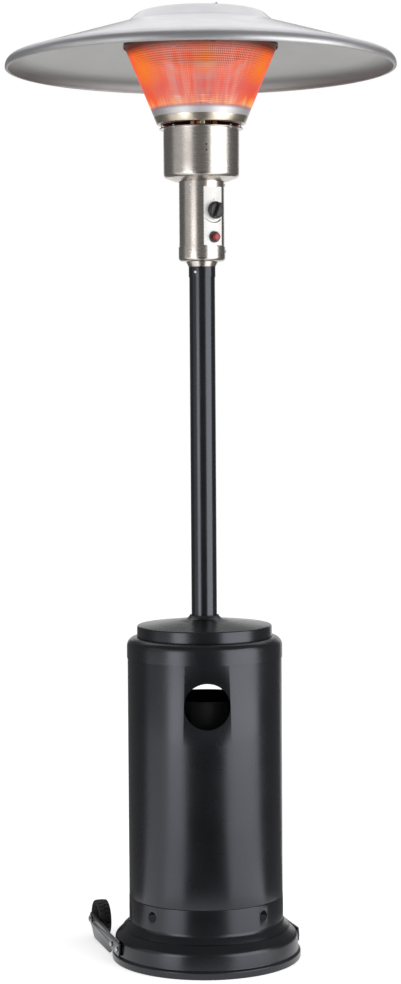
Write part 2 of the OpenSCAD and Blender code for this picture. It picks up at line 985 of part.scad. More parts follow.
// Main burner: venturi tube from the orifice up to a slotted burner barrel
module main_burner() {
    barrel_wall = 1.5;
    color("#8f8d88")
        difference() {
            union() {
                translate([0, 0, venturi_low])
                    cylinder(r = venturi_r, h = burner_z - venturi_low + 2);
                translate([0, 0, burner_z])
                    cylinder(r = burner_r + 2.5, h = 2);
                translate([0, 0, burner_z])
                    cylinder(r = burner_r, h = burner_h);
            }
            translate([0, 0, venturi_low - 1])
                cylinder(r = venturi_r - 1.2, h = burner_z - venturi_low + 5);
            translate([0, 0, burner_z + 3])
                cylinder(r = burner_r - barrel_wall, h = burner_h - 3 - barrel_wall);
            for (k = [0 : 5])
                rotate([0, 0, 30 * k])
                    translate([-burner_r - 1, -1, burner_z + 14])
                        cube([2 * burner_r + 2, 2, 30]);
        }
}

// Burner deck: the plate between the cup and the emitter that the burner pieces stand on
module burner_deck() {
    color("#8f8d88")
        difference() {
            translate([0, 0, cup_lip])
                cylinder(r = cup_r + cup_flange_w - 0.5, h = deck_plate_t);
            translate([0, 0, cup_lip - 1])
                cylinder(r = venturi_r + weld_gap, h = deck_plate_t + 2);
            in_head(pilot_u, pilot_v, cup_lip - 1)
                cylinder(r = pilot_r + weld_gap, h = deck_plate_t + 2);
            in_head(pilot_u, -pilot_v, cup_lip - 1)
                cylinder(r = thermo_r + weld_gap, h = deck_plate_t + 2);
            in_head(lead_u, lead_v, cup_lip - 1)
                cylinder(r = ceramic_r + weld_gap, h = deck_plate_t + 2);
            cup_screw_places(cup_lip - 1)
                cylinder(r = 2 + bolt_play / 2, h = deck_plate_t + 2);
        }
}

module pilot_burner() {
    low = knob_z + valve_half_z;
    color("#b8964e")
        in_head(pilot_u, pilot_v, 0) {
            translate([0, 0, low])
                cylinder(r = pilot_r, h = burner_z - low + 3);
            difference() {
                translate([0, 0, burner_z])
                    cylinder(r = 5.5, h = 24);
                translate([-6, -1.5, burner_z + 12])
                    cube([12, 3, 8]);
            }
        }
}

module thermocouple() {
    low = knob_z + valve_half_z;
    color("#b5734a")
        in_head(pilot_u, -pilot_v, 0) {
            translate([0, 0, low])
                cylinder(r = thermo_r, h = burner_z - low + 30);
            translate([0, 0, burner_z])
                cylinder(r = 4.5, h = 5);
        }
}

// Spark electrode: ceramic post on the deck, its tip, and the lead down to the igniter
module spark_electrode() {
    reach = -lead_v - igniter_r - weld_gap;
    color("#e4e0d4")
        in_head(lead_u, lead_v, 0) {
            translate([0, 0, cup_lip - 12])
                cylinder(r = ceramic_r, h = 32);
            translate([0, 0, burner_z])
                cylinder(r = ceramic_r + 2, h = 3);
            translate([0, 0, burner_z + 14])
                cylinder(r = 1, h = 20);
            translate([0, 0, igniter_z])
                cylinder(r = lead_r, h = cup_lip - 11 - igniter_z);
            translate([0, 0, igniter_z])
                sphere(r = lead_r);
            translate([0, 0, igniter_z])
                rotate([0, 90, 0])
                    cylinder(r = lead_r, h = reach);
        }
}

// Burner cup: drawn steel cup on the valve housing, with a collar inside the tube and a flange on top
module burner_cup() {
    collar_out = valve_r - head_t - seat_gap;
    color("#a9a8a4")
        difference() {
            spun([
                [collar_out, cup_z - cup_collar],
                [collar_out, cup_z + seat_gap, 0.8],
                [valve_r + 4, cup_z + seat_gap, 2],
                [cup_r, cup_z + cup_rise, cup_corner],
                [cup_r, cup_top, 1.5],
                [cup_r + cup_flange_w, cup_top]
            ], head_t);
            head_screw_places(cup_z - 7, valve_r)
                translate([0, 0, -6])
                    cylinder(r = 2 + bolt_play / 2, h = 12);
            cup_screw_places(cup_top - 1)
                cylinder(r = 2 + bolt_play / 2, h = head_t + 2);
            for (up = [peep_up, peep_up + peep_step])
                rotate([0, 0, -84])
                    translate([cup_r - 5, 0, cup_z + up])
                        rotate([0, 90, 0])
                            cylinder(r = peep_r, h = 10);
        }
}

// Four screws through the flange of the cup into the burner deck, heads below
module cup_screw_places(z) {
    around([-135, -45, 45, 135])
        translate([cup_r + cup_flange_w - 3.8, 0, z])
            children();
}

// Emitter foot: conical steel ring round the lower edge of the screen, on four tabs
module emitter_base() {
    out = ring_t + weld_gap;
    tab_r = cup_r + 1.5;
    color("#c9c4b8")
        union() {
            spun([
                [tab_r, emitter_z],
                [cone_r(0) + out, emitter_z, 3],
                [cone_r(base_ring_h) + out, emitter_z + base_ring_h]
            ], ring_t);
            for (k = [0 : 3])
                rotate([0, 0, 90 * k - tab_sweep / 2])
                    rotate_extrude(angle = tab_sweep)
                        translate([tab_r + 1.5, burner_z])
                            square([1.5, emitter_gap + ring_t / 2]);
        }
}

// Emitter screen: perforated cone that glows
module emitter_screen() {
    low = screen_lip;
    color("#d8622c")
        spun([
            [cone_r(low), emitter_z + low],
            [cone_r(emitter_h), emitter_top_z]
        ], screen_t);
}

// Emitter top: lidded plate that carries the reflector's studs
module emitter_top() {
    out = emitter_r1 + weld_gap + top_t;
    color("#8a857c")
        difference() {
            spun([
                [out, emitter_top_z - top_lip],
                [out, emitter_top_z + weld_gap + top_t, 2],
                [0, emitter_top_z + weld_gap + top_t]
            ], top_t);
            stud_places(emitter_top_z - 1)
                cylinder(r = stud_r + seat_gap, h = 6);
        }
}

module stud_places(z) {
    for (k = [0 : studs - 1])
        rotate([0, 0, stud_turn + 360 * k / studs])
            translate([stud_orbit, 0, z])
                children();
}

module stud_bolts() {
    head_h = 4;
    top = crown_z + washer_t + nut_h + 3;
    color("#b8babd")
        stud_places(emitter_top_z + weld_gap - head_h) {
            cylinder(r = 5.5, h = head_h, $fn = 6);
            cylinder(r = stud_r, h = top - emitter_top_z - weld_gap + head_h);
        }
}

module stud_spacers() {
    color("#b8babd")
        stud_places(emitter_top_z + weld_gap + top_t)
            ring(6, stud_r + seat_gap, spacer_len);
}

// Reflector: one spun dome with a raised crown, a rounded rim and a hem turned in
module reflector() {
    hat_edge = hat_r - hat_h / tan(hat_slope);
    color("#d4d5d2")
        difference() {
            spun([
                [reflector_r - rim_hem, rim_z],
                [reflector_r, rim_z, 2.5],
                [reflector_r, dome_edge, rim_corner],
                [hat_r, hat_foot, 14],
                [hat_edge, crown_z, hat_corner],
                [0, crown_z]
            ], reflector_t);
            stud_places(crown_under - 1)
                cylinder(r = stud_r + seat_gap, h = reflector_t + 2);
        }
}

module stud_washers() {
    color("#b8babd")
        stud_places(crown_z)
            ring(9, stud_r + seat_gap, washer_t);
}

// Wing nuts that hold the reflector down
module wing_nuts() {
    color("#b8babd")
        stud_places(crown_z + washer_t)
            difference() {
                union() {
                    cylinder(r = 6, h = nut_h);
                    for (s = [0, 180])
                        rotate([0, 0, s + 30])
                            translate([4, -1.25, 2])
                                rotate([0, -20, 0])
                                    cube([10, 2.5, 8]);
                }
                translate([0, 0, -1])
                    cylinder(r = stud_r + seat_gap / 2, h = nut_h + 12);
            }
}

// Wheel arm: flat bar beside the base, bolted to its band and reaching back to the axle
module wheel_arm(side) {
    outline = smooth([
        [arm_drop - 14, arm_pad_low], [-arm_front, arm_pad_low, 8], [-arm_front, arm_pad_high, 8],
        [arm_drop, arm_pad_high, 40], [axle_back, axle_z + arm_eye],
        [axle_back, axle_z - arm_eye], [axle_back - 26, arm_low, 24], [arm_drop, arm_low, 6],
        [arm_drop - 14, arm_pad_low]
    ]);
    color("#1d1d1f")
        wheel_set()
            difference() {
                translate([side > 0 ? arm_in : -arm_in - arm_t, 0, 0])
                    rotate([90, 0, 90])
                        difference() {
                            union() {
                                linear_extrude(arm_t)
                                    polygon([for (i = [1 : len(outline) - 1]) outline[i]]);
                                translate([axle_back, axle_z, 0])
                                    cylinder(r = arm_eye, h = arm_t);
                            }
                            translate([axle_back, axle_z, -1])
                                cylinder(r = axle_r + seat_gap, h = arm_t + 2);
                        }
                arm_bolt_places()
                    translate([0, 0, -12])
                        cylinder(r = arm_bolt_r + bolt_play / 2, h = 24);
            }
}

// Two bolts for each arm, drawn along +Z out of the arm's outer face
module arm_bolt_places() {
    for (side = [0, 180])
        rotate([0, 0, side])
            for (y = [arm_bolt_mid - arm_bolt_y, arm_bolt_mid + arm_bolt_y])
                translate([arm_in + arm_t, side == 0 ? y : -y, arm_bolt_z])
                    rotate([0, 90, 0])
                        children();
}

module arm_bolts() {
    inside = skirt_r - base_t;
    grip = arm_in + arm_t - sqrt(inside * inside - pow(arm_bolt_mid + arm_bolt_y, 2)) + 1.5;
    color("#b8babd")
        wheel_set()
            arm_bolt_places() {
                cylinder(r = 5.8, h = 4, $fn = 6);
                translate([0, 0, -grip - 6])
                    cylinder(r = arm_bolt_r, h = grip + 6);
                translate([0, 0, -grip - 5])
                    cylinder(r = 5.8, h = 5, $fn = 6);
            }
}

// Stub axles: one fixed in the eye of each arm, reaching in through the wheel
module wheel_axle() {
    inner = wheel_x - wheel_w / 2 - slide_gap - collar_w - 3;
    outer = arm_in + arm_t + cap_h - 2;
    color("#b8babd")
        wheel_set()
            for (s = [0, 1])
                mirror([s, 0, 0])
                    translate([inner, axle_back, axle_z])
                        rotate([0, 90, 0])
                            cylinder(r = axle_r, h = outer - inner);
}

// Collars on the stub axles, one on each side of each wheel
module axle_collars() {
    color("#b8babd")
        for (side = [-1, 1])
            at_wheel(side)
                for (s = [0, 1])
                    mirror([0, 0, s])
                        translate([0, 0, wheel_w / 2 + slide_gap])
                            ring(axle_r + 4, axle_r + seat_gap / 2, collar_w);
}

module axle_caps() {
    color("#b8babd")
        wheel_set()
            for (s = [0, 1])
                mirror([s, 0, 0])
                    translate([arm_in + arm_t + seat_gap, axle_back, axle_z])
                        rotate([0, 90, 0])
                            difference() {
                                cylinder(r = axle_r + 3, h = cap_h);
                                translate([0, 0, -1])
                                    cylinder(r = axle_r + seat_gap / 2, h = cap_h - 0.5);
                            }
}

// Places a piece drawn along +Z on the axle, centred in one wheel
module at_wheel(side) {
    wheel_set()
        translate([side * wheel_x, axle_back, axle_z])
            rotate([0, 90, 0])
                children();
}

// Wheel: moulded hub, web with round openings and rim
module wheel(side) {
    rim_out = wheel_d / 2 - tyre_t;
    rim_in = rim_out - rim_wall;
    hub_r = axle_r + hub_wall;
    spoke_mid = (rim_in + hub_r) / 2;
    spoke_hole = min((rim_in - hub_r) / 2 - 1.5, spoke_mid * sin(180 / spokes) - 2);
    color("#18181a")
        at_wheel(side)
            difference() {
                union() {
                    translate([0, 0, -wheel_w / 2])
                        cylinder(r = hub_r, h = wheel_w);
                    translate([0, 0, -4])
                        cylinder(r = rim_out - 1, h = 8);
                    translate([0, 0, -wheel_w / 2 + 2])
                        ring(rim_out, rim_in, wheel_w - 4);
                }
                translate([0, 0, -wheel_w])
                    cylinder(r = axle_r + run_gap, h = 2 * wheel_w);
                for (k = [0 : spokes - 1])
                    rotate([0, 0, 360 * k / spokes])
                        translate([spoke_mid, 0, -6])
                            cylinder(r = spoke_hole, h = 12);
            }
}

module tyre(side) {
    half = wheel_w / 2;
    inner = wheel_d / 2 - tyre_t + seat_gap;
    outer = wheel_d / 2;
    color("#0e0e0f")
        at_wheel(side)
            rotate_extrude()
                polygon(smooth([
                    [inner, 0], [inner, -half, 1], [outer - 1.5, -half, 4], [outer, 0, 18],
                    [outer - 1.5, half, 4], [inner, half, 1], [inner, 0]
                ]));
}

base_skirt();
base_neck();
base_deck();
support_post(post_angles[0]);  // support_post_1
support_post(post_angles[1]);  // support_post_2
support_post(post_angles[2]);  // support_post_3
support_post(post_angles[3]);  // support_post_4
post_bolts();
pole_flange();
pole();
pole_screws();
gas_cylinder();
cylinder_collar();
cylinder_valve();
valve_handwheel();
coupling_nut();
regulator();
gas_hose();
tank_housing();
housing_back();
housing_lid();
lid_bush();
pole_sleeve();
pole_ferrule();
head_base();
head_screws();
valve_housing();
control_panel();
gas_valve();
valve_plunger();
valve_stem();
control_knob();
igniter_body();
igniter_bezel();
igniter_button();
tilt_switch();
main_burner();
burner_deck();
pilot_burner();
thermocouple();
spark_electrode();
burner_cup();
emitter_base();
emitter_screen();
emitter_top();
stud_bolts();
stud_spacers();
reflector();
stud_washers();
wing_nuts();
wheel_arm(-1);  // wheel_arm_left
wheel_arm(1);  // wheel_arm_right
wheel_axle();
wheel(-1);  // wheel_left
wheel(1);  // wheel_right
tyre(-1);  // tyre_left
tyre(1);  // tyre_right
axle_collars();
axle_caps();
arm_bolts();
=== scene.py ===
import math

import bpy
from mathutils import Matrix, Vector


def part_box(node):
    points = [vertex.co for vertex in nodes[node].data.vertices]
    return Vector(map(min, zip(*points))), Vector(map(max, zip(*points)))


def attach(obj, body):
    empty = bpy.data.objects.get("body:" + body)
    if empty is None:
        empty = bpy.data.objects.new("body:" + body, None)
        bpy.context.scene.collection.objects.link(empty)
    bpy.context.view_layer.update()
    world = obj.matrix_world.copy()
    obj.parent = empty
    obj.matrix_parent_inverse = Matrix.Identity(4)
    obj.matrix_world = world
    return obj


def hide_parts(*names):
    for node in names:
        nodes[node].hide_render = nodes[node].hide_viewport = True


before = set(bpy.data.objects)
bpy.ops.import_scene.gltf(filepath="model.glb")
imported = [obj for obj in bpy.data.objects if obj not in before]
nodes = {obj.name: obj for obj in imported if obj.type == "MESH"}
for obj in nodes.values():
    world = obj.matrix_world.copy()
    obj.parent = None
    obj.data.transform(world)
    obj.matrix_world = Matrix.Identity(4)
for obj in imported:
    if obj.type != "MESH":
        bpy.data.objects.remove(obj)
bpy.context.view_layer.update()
bpy.context.scene.view_settings.view_transform = "Standard"


# Bell base: a foot pressed from 1.5 mm sheet steel that stands on its turned-in rim, and a
# flared neck welded on its shelf, with round vents and a spigot that the drum sits over.
# Both are powder coated satin black.

def linear(colour):
    """An sRGB hex colour as the linear colour that a socket takes."""
    parts = [int(colour[i:i + 2], 16) / 255 for i in (1, 3, 5)]
    return tuple(c / 12.92 if c <= 0.04045 else ((c + 0.055) / 1.055) ** 2.4 for c in parts) + (1.0,)


def finish_named(name):
    """A new material with its shader only."""
    finish = bpy.data.materials.new(name)
    finish.use_nodes = True
    return finish, finish.node_tree, finish.node_tree.nodes["Principled BSDF"]


def add(tree, kind, settings=None, links=None):
    """Adds a node, or takes one that is there, with its settings and what feeds it."""
    node = tree.nodes.new(kind) if isinstance(kind, str) else kind
    for name, value in (settings or {}).items():
        if isinstance(name, str) and hasattr(node, name):
            setattr(node, name, value)
        else:
            node.inputs[name].default_value = value
    for name, socket in (links or {}).items():
        tree.links.new(socket, node.inputs[name])
    return node


# Powder coat on steel: cured polyester, even and deep black, with a fine orange peel that
# breaks up the highlights. Peel is about 1 mm; it is drawn at 3 mm so that it shows.
# Street dust settles on what stands within 50 mm of the floor.
black_coat, tree, shader = finish_named("satin_black_powder_coat")
here = add(tree, "ShaderNodeTexCoord").outputs["Object"]
peel_mm = 3
peel = add(tree, "ShaderNodeTexNoise", {"Scale": 1000 / peel_mm, "Detail": 1.0}, {"Vector": here})
cloud_mm = 120
cloud = add(tree, "ShaderNodeTexNoise", {"Scale": 1000 / cloud_mm, "Detail": 4.0}, {"Vector": here})
tint = add(tree, "ShaderNodeMix", {"data_type": "RGBA", 6: linear("#0D0E10"), 7: linear("#131417")},
           {0: cloud.outputs["Fac"]})
axes = add(tree, "ShaderNodeSeparateXYZ", None, {0: here})
low = add(tree, "ShaderNodeMapRange", {"From Min": 0.0, "From Max": 0.05, "To Min": 0.12, "To Max": 0.0},
          {"Value": axes.outputs["Z"]})
settled = add(tree, "ShaderNodeMath", {"operation": "MULTIPLY"},
              {0: low.outputs["Result"], 1: cloud.outputs["Fac"]})
dusty = add(tree, "ShaderNodeMix", {"data_type": "RGBA", 7: linear("#322F2C")},
            {0: settled.outputs[0], 6: tint.outputs[2]})
sheen = add(tree, "ShaderNodeMapRange", {"From Min": 0.3, "From Max": 0.7, "To Min": 0.24, "To Max": 0.3},
            {"Value": cloud.outputs["Fac"]})
bump = add(tree, "ShaderNodeBump", {"Strength": 0.12, "Distance": 0.0002}, {"Height": peel.outputs["Fac"]})
add(tree, shader, {"IOR": 1.6, "Specular Tint": linear("#E6E8F4")},
    {"Base Color": dusty.outputs[2], "Roughness": sheen.outputs["Result"], "Normal": bump.outputs["Normal"]})


def bent(corners):
    """Points in metres along a sheet's line through (radius, height, bend) corners in mm."""
    points = []
    for i, corner in enumerate(corners):
        here = Vector(corner[:2])
        bend = corner[2] if len(corner) > 2 else 0
        if not bend:
            points.append(here / 1000)
            continue
        back = (Vector(corners[i - 1][:2]) - here).normalized()
        ahead = (Vector(corners[i + 1][:2]) - here).normalized()
        half = back.angle(ahead) / 2
        centre = here + (back + ahead).normalized() * (bend / math.sin(half))
        start = here + back * (bend / math.tan(half)) - centre
        sweep = start.angle_signed(here + ahead * (bend / math.tan(half)) - centre)
        steps = max(3, math.ceil(abs(math.degrees(sweep)) / 11))
        for k in range(steps + 1):
            points.append((centre + Matrix.Rotation(-sweep * k / steps, 2) @ start) / 1000)
    return points


def walled(line, wall):
    """A sheet's closed outline: its line, and the same line set over to the left by the wall in mm."""
    last = len(line) - 1
    sides = []
    for i, here in enumerate(line):
        before = (line[max(i, 1) - 1], line[max(i, 1)])
        after = (line[min(i, last - 1)], line[min(i, last - 1) + 1])
        lefts = [Vector((a.y - b.y, b.x - a.x)).normalized() for a, b in (before, after)]
        mid = (lefts[0] + lefts[1]).normalized()
        sides.append(here + mid * (wall / 1000 / mid.dot(lefts[0])))
    return line + sides[::-1] + line[:1]


def turned(name, outline, steps=128, sweep=360.0):
    """Turns an outline of (radius, height) points about Z, from +X on towards +Y."""
    bpy.ops.object.select_all(action="DESELECT")
    bpy.ops.mesh.primitive_plane_add(size=0.001)
    piece = bpy.context.object
    piece.name = piece.data.name = name
    bpy.ops.object.mode_set(mode="EDIT")
    bpy.ops.mesh.select_all(action="SELECT")
    bpy.ops.mesh.merge(type="CENTER")
    bpy.ops.transform.translate(value=(outline[0][0], 0, outline[0][1]))
    for here, ahead in zip(outline, outline[1:]):
        bpy.ops.mesh.extrude_vertices_move(
            TRANSFORM_OT_translate={"value": (ahead[0] - here[0], 0, ahead[1] - here[1])})
    bpy.ops.mesh.select_all(action="SELECT")
    bpy.ops.mesh.spin(steps=steps, angle=math.radians(sweep), center=(0, 0, 0), axis=(0, 0, -1))
    bpy.ops.mesh.select_all(action="SELECT")
    bpy.ops.mesh.remove_doubles(threshold=0.000005)
    if sweep < 360:
        bpy.ops.mesh.fill_holes(sides=0)
    bpy.ops.mesh.normals_make_consistent(inside=False)
    bpy.ops.object.mode_set(mode="OBJECT")
    return piece


def pick(piece):
    """Selects one piece and nothing else."""
    bpy.ops.object.select_all(action="DESELECT")
    piece.select_set(True)
    bpy.context.view_layer.objects.active = piece


def cut_with(piece, tool, operation="DIFFERENCE"):
    """Cuts a tool's shape out of a piece, or welds it on, and puts the tool away."""
    pick(piece)
    bpy.ops.object.modifier_add(type="BOOLEAN")
    cut = piece.modifiers[-1]
    cut.object = tool
    cut.operation = operation
    cut.solver = "EXACT"
    bpy.ops.object.modifier_apply(modifier=cut.name)
    bpy.data.objects.remove(tool)


def drill(radius, length, at, turn):
    """A drill's cylinder in mm, with a length along Z before it is turned and moved."""
    bpy.ops.object.select_all(action="DESELECT")
    bpy.ops.mesh.primitive_cylinder_add(
        vertices=48, radius=radius / 1000, depth=length / 1000, location=[c / 1000 for c in at],
        rotation=[math.radians(t) for t in turn])
    return bpy.context.object


def ease(piece, edge):
    """Rounds a piece's sharp edges by a size in mm."""
    pick(piece)
    bpy.ops.object.modifier_add(type="BEVEL")
    bevel = piece.modifiers[-1]
    bevel.width = edge / 1000
    bevel.segments = 2
    bevel.limit_method = "ANGLE"
    bevel.angle_limit = math.radians(40)
    bpy.ops.object.modifier_apply(modifier=bevel.name)


def settle(piece, finish, body, slot, *stands_for):
    """Smooths a finished piece and gives it its material, body and the CAD nodes it stands for. The slot is
    not used.
    """
    pick(piece)
    bpy.ops.object.transform_apply(location=True, rotation=True, scale=True)
    bpy.ops.object.shade_smooth_by_angle(angle=math.radians(32))
    piece.data.materials.clear()
    piece.data.materials.append(finish)
    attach(piece, body)
    if stands_for:
        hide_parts(*stands_for)


def span(node):
    """Radius, lower end and upper end of a round CAD node in mm."""
    low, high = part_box(node)
    return high.x * 1000, low.z * 1000, high.z * 1000


plate, base_steps = 1.5, 160
rim_r, floor_z, shelf_top = span("base_skirt")
rim_in, rim_top, rim_step, step_rise = 14, 15, 5, 4
band_r, band_top, shoulder, shelf_r = rim_r - 7.5, 52, 14, 180
foot = turned("bell_foot", walled(bent([
    (rim_r - rim_in, floor_z), (rim_r, floor_z, 2.5), (rim_r, rim_top, 3),
    (rim_r - rim_step, rim_top + step_rise, 2), (band_r, band_top, shoulder),
    (shelf_r, shelf_top)]), plate), base_steps)
settle(foot, black_coat, "heater", "black_coat", "base_skirt")

flare_r, _, spigot_top = span("base_neck")
flare_low, flare_top, neck_r, spigot_r, spigot_low = 70.5, 84.1, 172.5, 169, 142
neck = turned("bell_neck", walled(bent([
    (flare_r, flare_low), (neck_r, flare_top, 12), (neck_r, spigot_low, 2), (spigot_r, spigot_low, 0.6),
    (spigot_r, spigot_top)]), plate), base_steps)
vent_r, vent_z = 12, 117.5
for turn in (45, 135, 225, 315):
    way = math.radians(turn)
    vent_at = (neck_r * math.cos(way), neck_r * math.sin(way), vent_z)
    cut_with(neck, drill(vent_r, 40, vent_at, (0, 90, turn)))
ease(neck, 0.3)
settle(neck, black_coat, "heater", "black_coat", "base_neck")


# Deck, posts and pole flange: pressed and bent steel bolted together inside the drum, in
# the same powder coat. They keep their CAD shape, merged, with their edges eased.

def copied(piece, name):
    """A copy of a piece or of a CAD node with a mesh of its own."""
    twin = bpy.data.objects.new(name, piece.data.copy())
    twin.data.name = name
    bpy.context.scene.collection.objects.link(twin)
    return twin


def keep(name, node, edge, finish, slot, body="heater"):
    """Settles a merged copy of a CAD node with its sharp edges rounded by a size in mm."""
    piece = copied(nodes[node], name)
    pick(piece)
    bpy.ops.object.mode_set(mode="EDIT")
    bpy.ops.mesh.select_all(action="SELECT")
    bpy.ops.mesh.remove_doubles(threshold=0.000005)
    bpy.ops.mesh.dissolve_limited(angle_limit=math.radians(0.5))
    bpy.ops.object.mode_set(mode="OBJECT")
    if edge:
        ease(piece, edge)
    settle(piece, finish, body, slot, node)


keep("deck_pan", "base_deck", 0.4, black_coat, "black_coat")
for number in range(1, 5):
    keep("post_%d" % number, "support_post_%d" % number, 0.4, black_coat, "black_coat")
keep("flange_of_pole", "pole_flange", 0.4, black_coat, "black_coat")


# Bolts and screws of the frame: cold-headed steel, bright zinc plated. Plating is pale with
# a faint blue cast, and its crystals and the tool marks cloud it over a few millimetres.

def clouded(name, cloud_mm, detail, colours, sheens, shine, bumps=None):
    """A material whose colour and roughness, and its surface with bumps, cloud over a size in mm."""
    finish, tree, shader = finish_named(name)
    here = add(tree, "ShaderNodeTexCoord").outputs["Object"]
    cloud = add(tree, "ShaderNodeTexNoise", {"Scale": 1000 / cloud_mm, "Detail": detail}, {"Vector": here})
    ends = {6 + i: linear(colour) for i, colour in enumerate(colours)}
    tint = add(tree, "ShaderNodeMix", {"data_type": "RGBA", **ends}, {0: cloud.outputs["Fac"]})
    sheen = add(tree, "ShaderNodeMapRange", {"To Min": sheens[0], "To Max": sheens[1]},
                {"Value": cloud.outputs["Fac"]})
    add(tree, shader, shine, {"Base Color": tint.outputs[2], "Roughness": sheen.outputs["Result"]})
    if bumps:
        bump = add(tree, "ShaderNodeBump", bumps, {"Height": cloud.outputs["Fac"]})
        add(tree, shader, None, {"Normal": bump.outputs["Normal"]})
    return finish


zinc = clouded("bright_zinc_plated_steel", cloud_mm=4, detail=3.0, colours=("#B4B6B8", "#D6D8DA"),
               sheens=(0.22, 0.42), shine={"Metallic": 1.0})

keep("bolts_of_posts", "post_bolts", 0.3, zinc, "zinc_steel")
keep("screws_of_pole", "pole_screws", 0.2, zinc, "zinc_steel")


# Gas cylinder with its foot ring and collar: welded steel shells, spray enamelled dark grey,
# and darkened to near black with painted shade of the drum's inside.
# Enamel is smooth but sags a little, and handling scuffs the collar and the widest part.
enamel_and_shade, tree, shader = finish_named("dark_grey_enamel_and_painted_shade")
here = add(tree, "ShaderNodeTexCoord").outputs["Object"]
sag_mm = 20
sag = add(tree, "ShaderNodeTexNoise", {"Scale": 1000 / sag_mm, "Detail": 2.0}, {"Vector": here})
long_way = add(tree, "ShaderNodeMapping", {"Scale": (1 / 0.05, 1 / 0.05, 1 / 0.003)}, {"Vector": here})
scuff = add(tree, "ShaderNodeTexNoise", {"Scale": 1.0, "Detail": 5.0},
            {"Vector": long_way.outputs["Vector"]})
worn = add(tree, "ShaderNodeMapRange", {"From Min": 0.6, "From Max": 0.75, "To Min": 0.0, "To Max": 0.6},
           {"Value": scuff.outputs["Fac"]})
# Near-black colours: the enamel's dark grey with painted shade of the drum's inside
tint = add(tree, "ShaderNodeMix", {"data_type": "RGBA", 6: linear("#0F1011"), 7: linear("#1E1F21")},
           {0: worn.outputs["Result"]})
bump = add(tree, "ShaderNodeBump", {"Strength": 0.1, "Distance": 0.0005}, {"Height": sag.outputs["Fac"]})
add(tree, shader, {"Roughness": 0.5, "IOR": 1.45},
    {"Base Color": tint.outputs[2], "Normal": bump.outputs["Normal"]})

keep("cylinder_shell", "gas_cylinder", 0, enamel_and_shade, "cylinder_paint")
keep("collar_of_cylinder", "cylinder_collar", 0.6, enamel_and_shade, "cylinder_paint")


# Cylinder valve and pilot burner: hot-forged brass with turned faces, the valve screwed into
# the cylinder's boss. Brass dulls brown in patches of about a centimetre.
brass = clouded("forged_brass", cloud_mm=9, detail=4.0, colours=("#C9A55A", "#8E6F3A"),
                sheens=(0.2, 0.5), shine={"Metallic": 1.0})

keep("brass_valve", "cylinder_valve", 0.4, brass, "brass")
keep("pilot_tube", "pilot_burner", 0.2, brass, "brass")


# Handwheel, coupling nut, igniter body and guide bush: black nylon and ABS mouldings. The
# mould's spark-eroded grain is about 0.3 mm; it is drawn at 1 mm so that it shows.
black_plastic, tree, shader = finish_named("moulded_black_plastic")
here = add(tree, "ShaderNodeTexCoord").outputs["Object"]
grain_mm = 1
grain = add(tree, "ShaderNodeTexNoise", {"Scale": 1000 / grain_mm, "Detail": 2.0}, {"Vector": here})
cloud_mm = 15
cloud = add(tree, "ShaderNodeTexNoise", {"Scale": 1000 / cloud_mm, "Detail": 2.0}, {"Vector": here})
tint = add(tree, "ShaderNodeMix", {"data_type": "RGBA", 6: linear("#121213"), 7: linear("#1D1D1F")},
           {0: cloud.outputs["Fac"]})
sheen = add(tree, "ShaderNodeMapRange", {"To Min": 0.32, "To Max": 0.48}, {"Value": cloud.outputs["Fac"]})
bump = add(tree, "ShaderNodeBump", {"Strength": 0.1, "Distance": 0.0001}, {"Height": grain.outputs["Fac"]})
add(tree, shader, {"IOR": 1.52}, {"Base Color": tint.outputs[2], "Roughness": sheen.outputs["Result"],
                                  "Normal": bump.outputs["Normal"]})

keep("cylinder_handwheel", "valve_handwheel", 0.6, black_plastic, "black_plastic", "cylinder_tap")
keep("hand_nut", "coupling_nut", 0.4, black_plastic, "black_plastic")
keep("igniter_barrel", "igniter_body", 0.3, black_plastic, "black_plastic")


# Regulator and control valve: zinc alloy die castings, left as cast. The skin is pale grey
# with a soft mottle of a few millimetres.
casting = clouded("zinc_alloy_die_casting", cloud_mm=6, detail=4.0, colours=("#8B8E91", "#ABAEB1"),
                  sheens=(0.36, 0.56), shine={"Metallic": 1.0}, bumps={"Strength": 0.15, "Distance": 0.0002})

keep("regulator_casting", "regulator", 0.4, casting, "cast_alloy")
keep("valve_casting", "gas_valve", 0.5, casting, "cast_alloy")


# Gas hose: extruded rubber over a braid, 10 mm thick, from the regulator beside the hand
# holes over to the middle and up inside the pole. The braid shows through as fine ribs.
rubber, tree, shader = finish_named("braided_hose_rubber")
here = add(tree, "ShaderNodeTexCoord").outputs["Object"]
braid_mm = 2
braid = add(tree, "ShaderNodeTexVoronoi", {"Scale": 1000 / braid_mm}, {"Vector": here})
bloom_mm = 30
bloom = add(tree, "ShaderNodeTexNoise", {"Scale": 1000 / bloom_mm, "Detail": 3.0}, {"Vector": here})
tint = add(tree, "ShaderNodeMix", {"data_type": "RGBA", 6: linear("#141414"), 7: linear("#242322")},
           {0: bloom.outputs["Fac"]})
bump = add(tree, "ShaderNodeBump", {"Strength": 0.25, "Distance": 0.0003},
           {"Height": braid.outputs["Distance"]})
add(tree, shader, {"Roughness": 0.62, "IOR": 1.52},
    {"Base Color": tint.outputs[2], "Normal": bump.outputs["Normal"]})

hose_r, bend_r, beside = 5, 38, 80
hose_low, bend_low, hose_top = 539, 610, 1611
bend_top = bend_low + 2 * bend_r
turns = [math.radians(degrees) for degrees in range(0, 91, 10)]
route = [(beside, z) for z in (hose_low, 560, 585, bend_low)]
route += [(beside - bend_r + bend_r * math.cos(t), bend_low + bend_r * math.sin(t)) for t in turns[1:]]
route += [(bend_r - bend_r * math.sin(t), bend_top - bend_r * math.cos(t)) for t in turns]
route += [(0, z) for z in (720, 900, 1200, 1500, 1590, hose_top)]
bpy.ops.object.select_all(action="DESELECT")
bpy.ops.mesh.primitive_circle_add(
    vertices=24, radius=hose_r / 1000, location=(beside / 1000, 0, hose_low / 1000))
hose = bpy.context.object
hose.name = hose.data.name = "gas_hose_tube"
bpy.ops.object.transform_apply(location=True)
bpy.ops.object.mode_set(mode="EDIT")
bpy.ops.mesh.select_all(action="SELECT")
heading = 0.0
